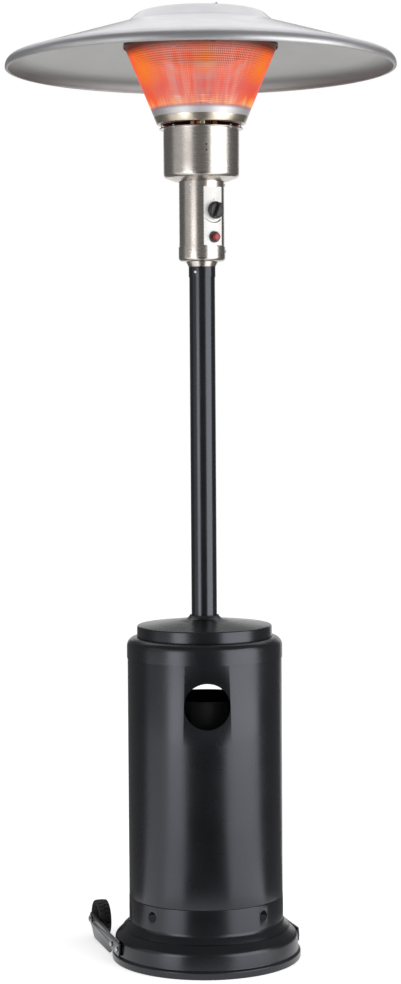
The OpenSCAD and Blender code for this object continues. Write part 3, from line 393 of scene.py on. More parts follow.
for i in range(1, len(route)):
    (x0, z0), (x1, z1) = route[i - 1], route[i]
    after = route[min(i + 1, len(route) - 1)]
    bpy.ops.mesh.extrude_region_move(
        TRANSFORM_OT_translate={"value": ((x1 - x0) / 1000, 0, (z1 - z0) / 1000)})
    first = math.atan2(x1 - x0, z1 - z0)
    second = math.atan2(after[0] - x1, after[1] - z1) if after != route[i] else first
    lean = (first + second) / 2
    if abs(lean - heading) > 1e-6:
        bpy.ops.transform.rotate(
            value=heading - lean, orient_axis="Y", center_override=(x1 / 1000, 0, z1 / 1000))
        heading = lean
bpy.ops.mesh.select_all(action="SELECT")
bpy.ops.mesh.fill_holes(sides=0)
bpy.ops.mesh.normals_make_consistent(inside=False)
bpy.ops.object.mode_set(mode="OBJECT")
settle(hose, rubber, "heater", "hose_rubber", "gas_hose")


# Drum: two rolled half shells that hide the gas cylinder and lift up the pole, joined by the
# lid, with a seam at each side and a punched hand hole in each half. Same powder coat.
drum_r, drum_low, drum_top = span("tank_housing")
drum_wall, hand_r, hand_z, half_gap = 1.2, 50.5, 586, 0.15
seam = math.degrees(half_gap / drum_r)
drum = turned("drum_front", walled(bent([
    (drum_r, z) for z in (drum_low, 320, 500, drum_top)]), drum_wall), 90, 180 - 2 * seam)
pick(drum)
drum.rotation_euler = (0, 0, math.radians(180 + seam))
bpy.ops.object.transform_apply(rotation=True)
cut_with(drum, drill(hand_r, 60, (0, -drum_r, hand_z), (90, 0, 0)))
ease(drum, 0.3)
back = copied(drum, "drum_rear")
back.rotation_euler = (0, 0, math.pi)
settle(drum, black_coat, "tank_cover", "black_coat", "tank_housing")
settle(back, black_coat, "tank_cover", "black_coat", "housing_back")


# Lid of the drum: pressed over its upper edge, with a rounded shoulder, a raised disc and
# a sweep up to the pole. The nylon guide bush in its neck keeps it off the pole's coat.
_, lid_low, lid_top = span("housing_lid")
lid_r, shoulder_r, disc_r, sweep_r = drum_r + 1.4, 20, 150.4, 62
disc_z, collar_r = drum_top + 45, 32.7
lid_edge = []
for degrees in range(0, 99, 7):
    t = math.radians(degrees)
    lid_edge.append((lid_r - shoulder_r + shoulder_r * math.cos(t), drum_top + shoulder_r * math.sin(t)))
lid = turned("drum_lid", walled(bent([(lid_r, lid_low)] + lid_edge + [
    (disc_r, disc_z, 4), (sweep_r, disc_z + 11, 26), (collar_r + 6.5, disc_z + 15, 8),
    (collar_r, lid_top)]), drum_wall), 180)
settle(lid, black_coat, "tank_cover", "black_coat", "housing_lid")
keep("guide_bush", "lid_bush", 0.4, black_plastic, "black_plastic", "tank_cover")


# Pole and its top sleeve: 57 mm welded steel tube and a short wider tube clamped on by one
# screw, both powder coated, a little glossier than the drum.
pole_coat, tree, shader = finish_named("gloss_black_powder_coat")
here = add(tree, "ShaderNodeTexCoord").outputs["Object"]
peel_mm = 2.5
peel = add(tree, "ShaderNodeTexNoise", {"Scale": 1000 / peel_mm, "Detail": 1.0}, {"Vector": here})
cloud_mm = 80
cloud = add(tree, "ShaderNodeTexNoise", {"Scale": 1000 / cloud_mm, "Detail": 3.0}, {"Vector": here})
tint = add(tree, "ShaderNodeMix", {"data_type": "RGBA", 6: linear("#0D0E10"), 7: linear("#141518")},
           {0: cloud.outputs["Fac"]})
sheen = add(tree, "ShaderNodeMapRange", {"From Min": 0.3, "From Max": 0.7, "To Min": 0.2, "To Max": 0.25},
            {"Value": cloud.outputs["Fac"]})
bump = add(tree, "ShaderNodeBump", {"Strength": 0.1, "Distance": 0.0002}, {"Height": peel.outputs["Fac"]})
add(tree, shader, {"IOR": 1.65, "Specular Tint": linear("#E6E8F4")},
    {"Base Color": tint.outputs[2], "Roughness": sheen.outputs["Result"], "Normal": bump.outputs["Normal"]})

pole_r, pole_low, pole_top = span("pole")
pole_wall, slip, pole_steps = 1.5, 0.2, 72
pole_line = [pole_low] + list(range(740, 1590, 50)) + [pole_top]
tube = turned("pole_tube", walled(bent([(pole_r, z) for z in pole_line]), pole_wall), pole_steps)
settle(tube, pole_coat, "heater", "pole_coat", "pole")
bore_r = pole_r + slip
sleeve_r, sleeve_low, sleeve_top = span("pole_sleeve")
sleeve = turned("top_sleeve", bent([
    (bore_r, sleeve_low), (sleeve_r, sleeve_low, 0.4), (sleeve_r, sleeve_top, 0.4), (bore_r, sleeve_top),
    (bore_r, sleeve_low)]), pole_steps)
settle(sleeve, pole_coat, "heater", "pole_coat", "pole_sleeve")


# Ferrule, head base, valve housing and burner cup: drawn and rolled stainless sheet, brushed
# round on the lathe and held by small plated screws. The brush leaves level scratches of about
# 0.3 mm, drawn at 1.2 mm so that they show, and the heat above leaves a faint warm haze.
stainless, tree, shader = finish_named("brushed_stainless_sheet")
here = add(tree, "ShaderNodeTexCoord").outputs["Object"]
level = add(tree, "ShaderNodeMapping", {"Scale": (1 / 0.05, 1 / 0.05, 1 / 0.0012)}, {"Vector": here})
brush = add(tree, "ShaderNodeTexNoise", {"Scale": 1.0, "Detail": 3.0}, {"Vector": level.outputs["Vector"]})
haze_mm = 30
haze = add(tree, "ShaderNodeTexNoise", {"Scale": 1000 / haze_mm, "Detail": 3.0}, {"Vector": here})
tint = add(tree, "ShaderNodeMix", {"data_type": "RGBA", 6: linear("#D2CCC6"), 7: linear("#AEA7A0")},
           {0: haze.outputs["Fac"]})
mixed = add(tree, "ShaderNodeMath", {"operation": "ADD"}, {0: brush.outputs["Fac"], 1: haze.outputs["Fac"]})
sheen = add(tree, "ShaderNodeMapRange", {"From Min": 0.6, "From Max": 1.4, "To Min": 0.2, "To Max": 0.34},
            {"Value": mixed.outputs[0]})
bump = add(tree, "ShaderNodeBump", {"Strength": 0.015, "Distance": 0.0002},
           {"Height": brush.outputs["Fac"]})
add(tree, shader, {"Metallic": 1.0}, {"Base Color": tint.outputs[2], "Roughness": sheen.outputs["Result"],
                                      "Normal": bump.outputs["Normal"]})

ferrule_r, ferrule_low, ferrule_top = span("pole_ferrule")
ferrule = turned("ferrule", bent([
    (bore_r, ferrule_low), (sleeve_r + 0.3, ferrule_low), (ferrule_r - 1.5, ferrule_top - 3.3, 4),
    (ferrule_r, ferrule_top), (bore_r, ferrule_top), (bore_r, ferrule_low)]), pole_steps)
settle(ferrule, stainless, "heater", "stainless", "pole_ferrule")
head_r, head_low, _ = span("head_base")
head_wall, head_bend, head_rise, head_steps = 1.5, 9, 32, 96
band = turned("head_band", walled(bent([
    (bore_r, head_low), (head_r, head_low, head_bend),
    (head_r, head_low + head_rise)]), head_wall), head_steps)
settle(band, stainless, "heater", "stainless", "head_base")
tube_r, tube_low, tube_top = span("valve_housing")
tube_wall = 1
housing = turned("valve_tube", walled(bent([
    (tube_r, z) for z in (tube_low, 1600, 1640, 1680, tube_top)]), tube_wall), head_steps)
panel_turn, panel_way = 30, Vector((0.5, -0.866, 0))
window_at, window_size = panel_way * 0.045 + Vector((0, 0, 1.650)), (0.040, 0.050, 0.114)
bpy.ops.object.select_all(action="DESELECT")
bpy.ops.mesh.primitive_cube_add(size=1, location=window_at, rotation=(0, 0, math.radians(panel_turn)))
window = bpy.context.object
window.scale = window_size
cut_with(housing, window)
settle(housing, stainless, "heater", "stainless", "valve_housing")
flange_r, cup_low, _ = span("burner_cup")
cup_r, cup_floor, cup_top, cup_wall, peep_r, peep_turn = 83.5, 1737, 1842, 1, 1.8, -84
cup = turned("burner_cup_shell", walled(bent([
    (tube_r - 1.2, cup_low), (tube_r - 1.2, tube_top + 0.2, 0.8), (tube_r + 4, tube_top + 0.2, 2),
    (cup_r, cup_floor, 11), (cup_r, 1770), (cup_r, 1800), (cup_r, cup_top, 1.5),
    (flange_r, cup_top)]), cup_wall))
peep = Vector((math.cos(math.radians(peep_turn)), math.sin(math.radians(peep_turn)), 0)) * cup_r
for z in (1789.5, 1802):
    cut_with(cup, drill(peep_r, 20, (peep.x, peep.y, z), (0, 90, peep_turn)))
settle(cup, stainless, "heater", "stainless", "burner_cup")
keep("screws_of_head", "head_screws", 0, zinc, "zinc_steel")
keep("tilt_can", "tilt_switch", 0.3, zinc, "zinc_steel")


# Control panel: a rolled steel plate over the window of the valve tube, stove enamelled
# white, with a plain printed dial: one tick above the knob and a wedge that grows below it.
panel_r, panel_back, half_width, panel_low, panel_top = 51.2, 50, 23, 1586, 1714
knob_z, igniter_z, knob_hole, igniter_hole = 1662, 1604, 5, 10.3
tick_r, tick_half, tick_thin, dial_r, dial_thin, dial_wide = 0.0245, 0.0022, 0.0006, 0.0265, 0.0003, 0.0018
dial_start, dial_end = -2.45, -0.78
white_enamel, tree, shader = finish_named("white_stove_enamel")
here = add(tree, "ShaderNodeTexCoord").outputs["Object"]
across = add(tree, "ShaderNodeVectorMath", {"operation": "DOT_PRODUCT", 1: (0.866, 0.5, 0.0)}, {0: here})
axes = add(tree, "ShaderNodeSeparateXYZ", None, {0: here})
up = add(tree, "ShaderNodeMath", {"operation": "SUBTRACT", 1: knob_z / 1000}, {0: axes.outputs["Z"]})
flat = add(tree, "ShaderNodeCombineXYZ", None, {"X": across.outputs["Value"], "Y": up.outputs[0]})
reach = add(tree, "ShaderNodeVectorMath", {"operation": "LENGTH"}, {0: flat.outputs[0]})
angle = add(tree, "ShaderNodeMath", {"operation": "ARCTAN2"},
            {0: up.outputs[0], 1: across.outputs["Value"]})
wide = add(tree, "ShaderNodeMapRange",
           {"From Min": dial_start - 0.05, "From Max": dial_end + 0.03,
            "To Min": dial_thin, "To Max": dial_wide},
           {"Value": angle.outputs[0]})
off_line = add(tree, "ShaderNodeMath", {"operation": "SUBTRACT", 1: dial_r}, {0: reach.outputs["Value"]})
off_line = add(tree, "ShaderNodeMath", {"operation": "ABSOLUTE"}, {0: off_line.outputs[0]})
on_line = add(tree, "ShaderNodeMath", {"operation": "LESS_THAN"},
              {0: off_line.outputs[0], 1: wide.outputs["Result"]})
after = add(tree, "ShaderNodeMath", {"operation": "GREATER_THAN", 1: dial_start}, {0: angle.outputs[0]})
before = add(tree, "ShaderNodeMath", {"operation": "LESS_THAN", 1: dial_end}, {0: angle.outputs[0]})
wedge = add(tree, "ShaderNodeMath", {"operation": "MULTIPLY"}, {0: on_line.outputs[0], 1: after.outputs[0]})
wedge = add(tree, "ShaderNodeMath", {"operation": "MULTIPLY"}, {0: wedge.outputs[0], 1: before.outputs[0]})
near = add(tree, "ShaderNodeMath", {"operation": "COMPARE", 1: tick_r, 2: tick_half},
           {0: reach.outputs["Value"]})
thin = add(tree, "ShaderNodeMath", {"operation": "COMPARE", 1: 0.0, 2: tick_thin},
           {0: across.outputs["Value"]})
above = add(tree, "ShaderNodeMath", {"operation": "GREATER_THAN", 1: 0.0}, {0: up.outputs[0]})
tick = add(tree, "ShaderNodeMath", {"operation": "MULTIPLY"}, {0: near.outputs[0], 1: thin.outputs[0]})
tick = add(tree, "ShaderNodeMath", {"operation": "MULTIPLY"}, {0: tick.outputs[0], 1: above.outputs[0]})
ink = add(tree, "ShaderNodeMath", {"operation": "MAXIMUM"}, {0: wedge.outputs[0], 1: tick.outputs[0]})
cloud_mm = 20
cloud = add(tree, "ShaderNodeTexNoise", {"Scale": 1000 / cloud_mm, "Detail": 2.0}, {"Vector": here})
tint = add(tree, "ShaderNodeMix", {"data_type": "RGBA", 6: linear("#F3F3F1"), 7: linear("#E9E9E6")},
           {0: cloud.outputs["Fac"]})
printed = add(tree, "ShaderNodeMix", {"data_type": "RGBA", 7: linear("#4A4A4C")},
              {0: ink.outputs[0], 6: tint.outputs[2]})
sheen = add(tree, "ShaderNodeMapRange", {"To Min": 0.26, "To Max": 0.38}, {"Value": cloud.outputs["Fac"]})
add(tree, shader, {"IOR": 1.52}, {"Base Color": printed.outputs[2], "Roughness": sheen.outputs["Result"]})

half = math.degrees(math.asin(half_width / panel_r))
panel = turned("dial_plate", bent([
    (panel_back, panel_low), (panel_r, panel_low), (panel_r, panel_top), (panel_back, panel_top),
    (panel_back, panel_low)]), 24, 2 * half)
pick(panel)
panel.rotation_euler = (0, 0, math.radians(panel_turn - 90 - half))
bpy.ops.object.transform_apply(rotation=True)
for z, radius in ((knob_z, knob_hole), (igniter_z, igniter_hole)):
    cut_with(panel, drill(radius, 30, (panel_way.x * 51, panel_way.y * 51, z), (90, 0, panel_turn)))
ease(panel, 0.25)
settle(panel, white_enamel, "heater", "panel_white", "control_panel")


# Control knob and igniter: black ABS mouldings on the panel. The knob's grip bar stands on
# a round skirt; the igniter has a ring nut round a red push button.

def on_panel(piece, z, lean=0.0):
    """Stands a piece made along Z on the panel's normal at a height in mm."""
    facing = Matrix.Rotation(math.radians(panel_turn), 4, "Z") @ Matrix.Rotation(math.radians(90), 4, "X")
    piece.matrix_world = (Matrix.Translation((0, 0, z / 1000)) @ facing
                          @ Matrix.Rotation(math.radians(lean), 4, "Z"))
    pick(piece)
    bpy.ops.object.transform_apply(location=True, rotation=True, scale=True)


def pick_faces(piece, wanted):
    """Opens a piece in edit mode with those of its faces selected that pass a test."""
    pick(piece)
    bpy.ops.object.mode_set(mode="EDIT")
    bpy.ops.mesh.select_all(action="DESELECT")
    bpy.ops.object.mode_set(mode="OBJECT")
    for face in piece.data.polygons:
        face.select = wanted(face)
    bpy.ops.object.mode_set(mode="EDIT")


skirt_r, skirt_low, hub_r, hub_top, knob_lean = 19, 55.8, 14.6, 65.2, -22
grip_size, grip_mid, grip_top, grip_taper = (0.009, 0.0364, 0.0146), 0.0682, 0.0755, (0.72, 0.86, 1.0)
knob = turned("knob_moulding", bent([
    (0, skirt_low), (skirt_r - 0.6, skirt_low), (skirt_r, skirt_low + 0.8, 0.5), (skirt_r, 60.4, 0.8),
    (skirt_r - 1.4, 61.8, 0.8), (hub_r + 0.9, 62.4, 0.5), (hub_r, 64.5, 1), (0, hub_top)]), 64)
bpy.ops.object.select_all(action="DESELECT")
bpy.ops.mesh.primitive_cube_add(size=1, location=(0, 0, grip_mid))
grip = bpy.context.object
grip.scale = grip_size
bpy.ops.object.transform_apply(location=True, rotation=True, scale=True)
pick_faces(grip, lambda face: face.normal.z > 0.9)
bpy.ops.transform.resize(value=grip_taper, center_override=(0, 0, grip_top))
bpy.ops.object.mode_set(mode="OBJECT")
ease(grip, 1.6)
cut_with(knob, grip, "UNION")
on_panel(knob, knob_z, knob_lean)
settle(knob, black_plastic, "knob_turn", "black_plastic", "control_knob")
nut_r, nut_bore, nut_low, nut_top = 12.5, 10.2, 51.4, 57
nut = turned("igniter_ring_nut", bent([
    (nut_bore, nut_low), (nut_r, nut_low), (nut_r - 0.5, nut_top, 1.2), (nut_bore, nut_top),
    (nut_bore, nut_low)]), 64)
on_panel(nut, igniter_z)
settle(nut, black_plastic, "heater", "black_plastic", "igniter_bezel")

# Red ABS of the igniter button, moulded in colour and polished by thumbs.
red_plastic = clouded("moulded_red_plastic", cloud_mm=6, detail=2.0, colours=("#7E1014", "#A01B1E"),
                      sheens=(0.22, 0.36), shine={"IOR": 1.52})

button_r, button_edge = 8.5, 65.8
button_low = min(panel_way.dot(v.co) for v in nodes["igniter_button"].data.vertices) * 1000
button = turned("push_button", bent([
    (0, button_low), (button_r, button_low), (button_r, button_edge, 3), (0, button_edge + 1)]), 48)
on_panel(button, igniter_z)
settle(button, red_plastic, "igniter_push", "red_plastic", "igniter_button")

keep("plunger", "valve_plunger", 0.2, brass, "brass", "knob_push")
keep("stem", "valve_stem", 0.2, brass, "brass", "knob_turn")


# Burner and burner deck: mild steel tube and plate, browned and sooted by the flame, with a
# brass thermocouple beside them. The tint comes in clouds of one to three centimetres.
burnt_steel = clouded("flame_tinted_steel", cloud_mm=20, detail=4.0, colours=("#5E5852", "#332C28"),
                      sheens=(0.34, 0.56), shine={"Metallic": 1.0})

keep("burner_barrel", "main_burner", 0.2, burnt_steel, "burner_steel")
keep("burner_plate", "burner_deck", 0.2, burnt_steel, "burner_steel")
keep("thermocouple_tube", "thermocouple", 0.2, brass, "brass")

# Spark electrode: a glazed ceramic post with its lead, cream white with fine specks.
ceramic = clouded("glazed_ceramic", cloud_mm=1.5, detail=3.0, colours=("#EDE8DB", "#CFC7B4"),
                  sheens=(0.14, 0.3), shine={"IOR": 1.54})
keep("electrode", "spark_electrode", 0, ceramic, "ceramic")


# Emitter foot and top: a rolled steel ring on four tabs under the screen, and the lidded
# plate over it. Heat turns the polished steel straw and brown, darkest at the top.
straw_z, brown_z = 1.875, 2.018
hot_steel, tree, shader = finish_named("heat_tinted_stainless")
here = add(tree, "ShaderNodeTexCoord").outputs["Object"]
cloud_mm = 15
cloud = add(tree, "ShaderNodeTexNoise", {"Scale": 1000 / cloud_mm, "Detail": 3.0}, {"Vector": here})
axes = add(tree, "ShaderNodeSeparateXYZ", None, {0: here})
heat = add(tree, "ShaderNodeMapRange", {"From Min": straw_z, "From Max": brown_z},
           {"Value": axes.outputs["Z"]})
straw = add(tree, "ShaderNodeMix", {"data_type": "RGBA", 6: linear("#CFC6B8"), 7: linear("#B8AC9C")},
            {0: cloud.outputs["Fac"]})
brown = add(tree, "ShaderNodeMix", {"data_type": "RGBA", 6: linear("#4A3D34"), 7: linear("#2C231E")},
            {0: cloud.outputs["Fac"]})
tint = add(tree, "ShaderNodeMix", {"data_type": "RGBA"},
           {0: heat.outputs["Result"], 6: straw.outputs[2], 7: brown.outputs[2]})
sheen = add(tree, "ShaderNodeMapRange", {"To Min": 0.24, "To Max": 0.4}, {"Value": cloud.outputs["Fac"]})
add(tree, shader, {"Metallic": 1.0}, {"Base Color": tint.outputs[2], "Roughness": sheen.outputs["Result"]})

keep("emitter_foot", "emitter_base", 0.2, hot_steel, "hot_steel")
keep("emitter_lid", "emitter_top", 0.2, hot_steel, "hot_steel")


# Emitter screen: perforated heat-proof steel rolled into a cone and seam welded. In use it
# glows orange, with paler and redder streaks where the flame plays behind its rows of holes,
# small yellow flames along its foot, and an unlit grey band below them.
screen_r, screen_low, _ = span("emitter_screen")
screen_top = 2028
# The fourth height is where the painted shade under the top plate begins
unlit_z, flame_z, belt_z, lip_shade_z, plate_z = [
    (screen_low + up) / 1000 for up in (21.5, 26.5, 68.5, 138.5, 155.5)]
glow, tree, shader = finish_named("glowing_perforated_steel")
here = add(tree, "ShaderNodeTexCoord").outputs["Object"]
axes = add(tree, "ShaderNodeSeparateXYZ", None, {0: here})
round_it = add(tree, "ShaderNodeMath", {"operation": "ARCTAN2"},
               {0: axes.outputs["Y"], 1: axes.outputs["X"]})
unrolled = add(tree, "ShaderNodeCombineXYZ", None, {"X": round_it.outputs[0], "Y": axes.outputs["Z"]})
# Orange at the sides and salmon in front, in soft patches of about 60 mm
level = add(tree, "ShaderNodeVectorMath", {"operation": "MULTIPLY", 1: (1.0, 1.0, 0.0)}, {0: here})
outward = add(tree, "ShaderNodeVectorMath", {"operation": "NORMALIZE"}, {0: level.outputs["Vector"]})
level = add(tree, "ShaderNodeSeparateXYZ", None, {0: outward.outputs["Vector"]})
front = add(tree, "ShaderNodeMapRange", {"From Min": -0.45, "From Max": -0.92},
            {"Value": level.outputs["Y"]})
wide_map = add(tree, "ShaderNodeMapping", {"Scale": (2.4, 16.0, 1.0), "Location": (0.4, 0.0, 0.0)},
               {"Vector": unrolled.outputs[0]})
patches = add(tree, "ShaderNodeTexNoise", {"Scale": 1.0, "Detail": 2.0},
              {"Vector": wide_map.outputs["Vector"]})
patch = add(tree, "ShaderNodeMapRange", {"From Min": 0.3, "From Max": 0.6},
            {"Value": patches.outputs["Fac"]})
pale = add(tree, "ShaderNodeMath", {"operation": "MULTIPLY"},
           {0: front.outputs["Result"], 1: patch.outputs["Result"]})
ember = add(tree, "ShaderNodeMix", {"data_type": "RGBA", 6: linear("#F75F2E"), 7: linear("#EC7D68")},
            {0: pale.outputs[0]})
# A redder belt 40 mm above the foot of the flames, where they leave the screen
belt = add(tree, "ShaderNodeMath", {"operation": "SUBTRACT", 1: belt_z}, {0: axes.outputs["Z"]})
belt = add(tree, "ShaderNodeMath", {"operation": "ABSOLUTE"}, {0: belt.outputs[0]})
belt = add(tree, "ShaderNodeMapRange", {"From Min": 0.004, "From Max": 0.026, "To Min": 0.8, "To Max": 0.0},
           {"Value": belt.outputs[0]})
ember = add(tree, "ShaderNodeMix", {"data_type": "RGBA", 7: linear("#E4544A")},
            {0: belt.outputs["Result"], 6: ember.outputs[2]})
# Rows of holes show as soft upright streaks, purple grey and pale, about 12 mm wide, and finer ones
for scale, colour, most in (
        ((8.0, 6.0, 1.0), "#C08C94", 0.6), ((11.0, 8.0, 3.0), "#F2A690", 0.55),
        ((26.0, 7.0, 5.0), "#C87C7A", 0.3)):
    row_map = add(tree, "ShaderNodeMapping", {"Scale": scale}, {"Vector": unrolled.outputs[0]})
    rows = add(tree, "ShaderNodeTexNoise", {"Scale": 1.0, "Detail": 2.0},
               {"Vector": row_map.outputs["Vector"]})
    streak = add(tree, "ShaderNodeMapRange",
                 {"From Min": 0.45, "From Max": 0.75, "To Min": 0.0, "To Max": most},
                 {"Value": rows.outputs["Fac"]})
    streak = add(tree, "ShaderNodeMath", {"operation": "MULTIPLY"},
                 {0: streak.outputs["Result"], 1: front.outputs["Result"]})
    ember = add(tree, "ShaderNodeMix", {"data_type": "RGBA", 7: linear(colour)},
                {0: streak.outputs[0], 6: ember.outputs[2]})
# Hotter spots, where the flame strikes the screen, each with its place and reach in metres
for spot, size in (
        ((0.007, -0.147, 1.978), 0.038), ((0.126, -0.067, 1.968), 0.05), ((-0.125, -0.07, 1.965), 0.06),
        ((0.104, -0.036, 1.889), 0.024)):
    far = add(tree, "ShaderNodeVectorMath", {"operation": "DISTANCE", 1: spot}, {0: here})
    hot = add(tree, "ShaderNodeMapRange", {"From Max": size, "To Min": 0.8, "To Max": 0.0},
              {"Value": far.outputs["Value"]})
    ember = add(tree, "ShaderNodeMix", {"data_type": "RGBA", 7: linear("#FB8B22")},
                {0: hot.outputs["Result"], 6: ember.outputs[2]})
# Flames lick up from the foot, each about 8 mm wide and 20 mm high, over a purple heat line
lick_map = add(tree, "ShaderNodeMapping", {"Scale": (15.0, 12.0, 1.0)}, {"Vector": unrolled.outputs[0]})
licks = add(tree, "ShaderNodeTexNoise", {"Scale": 1.0, "Detail": 1.0},
            {"Vector": lick_map.outputs["Vector"]})
height = add(tree, "ShaderNodeMapRange",
             {"From Min": flame_z, "From Max": flame_z + 0.034, "To Min": 0.25, "To Max": 0.85},
             {"Value": axes.outputs["Z"]})
flame = add(tree, "ShaderNodeMath", {"operation": "SUBTRACT"},
            {0: licks.outputs["Fac"], 1: height.outputs["Result"]})
flame = add(tree, "ShaderNodeMapRange", {"From Min": -0.1, "From Max": 0.34, "To Max": 0.8},
            {"Value": flame.outputs[0]})
flamed = add(tree, "ShaderNodeMix", {"data_type": "RGBA", 7: linear("#F8BC7C")},
             {0: flame.outputs["Result"], 6: ember.outputs[2]})
line = add(tree, "ShaderNodeMapRange",
           {"From Min": flame_z - 0.001, "From Max": flame_z + 0.005, "To Min": 0.8, "To Max": 0.0},
           {"Value": axes.outputs["Z"]})
flamed = add(tree, "ShaderNodeMix", {"data_type": "RGBA", 7: linear("#7A5A86")},
             {0: line.outputs["Result"], 6: flamed.outputs[2]})
# Painted shade darkens the screen's glow to brown under the top plate, and its foot stays unlit
lip_shade = add(tree, "ShaderNodeMapRange", {"From Min": lip_shade_z, "From Max": plate_z, "To Max": 0.95},
           {"Value": axes.outputs["Z"]})
flamed = add(tree, "ShaderNodeMix", {"data_type": "RGBA", 7: linear("#3A201A")},
             {0: lip_shade.outputs["Result"], 6: flamed.outputs[2]})
lit = add(tree, "ShaderNodeMapRange", {"From Min": unlit_z, "From Max": unlit_z + 0.006},
          {"Value": axes.outputs["Z"]})
glowing = add(tree, "ShaderNodeMix", {"data_type": "RGBA", 6: (0.0, 0.0, 0.0, 1.0)},
              {0: lit.outputs["Result"], 7: flamed.outputs[2]})
cold = add(tree, "ShaderNodeMix", {"data_type": "RGBA", 6: linear("#C6C4C6"), 7: linear("#3A2422")},
           {0: lit.outputs["Result"]})
# Painted shade darkens the inside faces
surface = add(tree, "ShaderNodeNewGeometry")
facing = add(tree, "ShaderNodeVectorMath", {"operation": "DOT_PRODUCT"},
             {0: surface.outputs["Normal"], 1: outward.outputs["Vector"]})
inside_shade = add(tree, "ShaderNodeMapRange", {"From Min": 0.1, "From Max": -0.1},
            {"Value": facing.outputs["Value"]})
cold = add(tree, "ShaderNodeMix", {"data_type": "RGBA", 7: linear("#161211")},
           {0: inside_shade.outputs["Result"], 6: cold.outputs[2]})
add(tree, shader, {"Metallic": 0.6, "Roughness": 0.45, "Emission Strength": 0.95},
    {"Base Color": cold.outputs[2], "Emission Color": glowing.outputs[2]})

rows, round_about, web, screen_wall = 36, 216, 2.0, 0.8
cone_r, cone_high, foot_up = 95.5, 175.5, 5
foot_r = cone_r + (screen_r - cone_r) * foot_up / cone_high
up_rows = [k / rows for k in range(rows + 1)]
screen = turned("emitter_cone", bent([
    (foot_r + (screen_r - foot_r) * up, screen_low + (screen_top - screen_low) * up)
    for up in up_rows]), round_about)
pick_faces(screen, lambda face: flame_z + 0.002 < face.center.z < plate_z - 0.001)
bpy.ops.mesh.inset(use_individual=True, thickness=web / 2 / 1000)
bpy.ops.mesh.delete(type="FACE")
bpy.ops.object.mode_set(mode="OBJECT")
bpy.ops.object.modifier_add(type="SOLIDIFY")
sheet = screen.modifiers[-1]
sheet.thickness = screen_wall / 1000
sheet.offset = -1
bpy.ops.object.modifier_apply(modifier=sheet.name)
settle(screen, glow, "heater", "glow_screen", "emitter_screen")


# Reflector: one disc of 1 mm aluminium spun over a chuck into a shallow dome with a raised
# crown, its rim rounded over and hemmed. The roller leaves fine rings about the axis, 1 mm
# apart, drawn at 4 mm so that they show. Outside is polished bright, the inside left satin
# and given a darker colour as painted shade.
spun_aluminium, tree, shader = finish_named("spun_aluminium")
here = add(tree, "ShaderNodeTexCoord").outputs["Object"]
flat = add(tree, "ShaderNodeVectorMath", {"operation": "MULTIPLY", 1: (1.0, 1.0, 0.0)}, {0: here})
reach = add(tree, "ShaderNodeVectorMath", {"operation": "LENGTH"}, {0: flat.outputs["Vector"]})
rings_mm = 4
rings = add(tree, "ShaderNodeTexNoise", {"noise_dimensions": "1D", "Scale": 1000 / rings_mm, "Detail": 3.0},
            {"W": reach.outputs["Value"]})
haze_mm = 60
haze = add(tree, "ShaderNodeTexNoise", {"Scale": 1000 / haze_mm, "Detail": 4.0}, {"Vector": here})
tint = add(tree, "ShaderNodeMix", {"data_type": "RGBA", 6: linear("#E2E1E5"), 7: linear("#D0D0D4")},
           {0: haze.outputs["Fac"]})
mixed = add(tree, "ShaderNodeMath", {"operation": "ADD"}, {0: rings.outputs["Fac"], 1: haze.outputs["Fac"]})
surface = add(tree, "ShaderNodeNewGeometry")
faces = add(tree, "ShaderNodeSeparateXYZ", None, {0: surface.outputs["Normal"]})
# Inside faces get painted shade, a darker colour, and a satin roughness
inside = add(tree, "ShaderNodeMapRange", {"From Min": 0.1, "From Max": -0.1}, {"Value": faces.outputs["Z"]})
satin = add(tree, "ShaderNodeMath", {"operation": "MULTIPLY", 1: 0.26}, {0: inside.outputs["Result"]})
tint = add(tree, "ShaderNodeMix", {"data_type": "RGBA", 7: linear("#B0B0AF")},
           {0: inside.outputs["Result"], 6: tint.outputs[2]})
sheen = add(tree, "ShaderNodeMapRange", {"From Min": 0.6, "From Max": 1.4, "To Min": 0.17, "To Max": 0.25},
            {"Value": mixed.outputs[0]})
sheen = add(tree, "ShaderNodeMath", {"operation": "ADD"}, {0: sheen.outputs["Result"], 1: satin.outputs[0]})
rim = add(tree, "ShaderNodeMapRange", {"From Min": 0.385, "From Max": 0.415, "To Min": 0.0, "To Max": 0.22},
          {"Value": reach.outputs["Value"]})
sheen = add(tree, "ShaderNodeMath", {"operation": "ADD"}, {0: sheen.outputs[0], 1: rim.outputs["Result"]})
bump = add(tree, "ShaderNodeBump", {"Strength": 0.04, "Distance": 0.0005}, {"Height": rings.outputs["Fac"]})
add(tree, shader, {"Metallic": 1.0}, {"Base Color": tint.outputs[2], "Roughness": sheen.outputs[0],
                                      "Normal": bump.outputs["Normal"]})

dish_r, _, dish_top = span("reflector")
dish_low, dish_wall, hem, edge_z, edge_bend = 1973.8, 1, 7, 1994.3, 21.5
crown_r, crown_foot_r, crown_foot = 137.9, 164.4, 2073
dish = turned("reflector_dome", walled(bent([
    (dish_r - hem, dish_low), (dish_r, dish_low, 2.5), (dish_r, edge_z, edge_bend),
    (345, 2019.5), (255, 2046.2), (crown_foot_r, crown_foot, 14),
    (crown_r, dish_top, 22), (60, dish_top), (0, dish_top)]), dish_wall), 192)
settle(dish, spun_aluminium, "heater", "spun_aluminium", "reflector")
keep("studs", "stud_bolts", 0.2, zinc, "zinc_steel")
keep("spacers", "stud_spacers", 0.2, zinc, "zinc_steel")
keep("washers", "stud_washers", 0.2, zinc, "zinc_steel")
keep("wing_nut_set", "wing_nuts", 0.5, zinc, "zinc_steel")


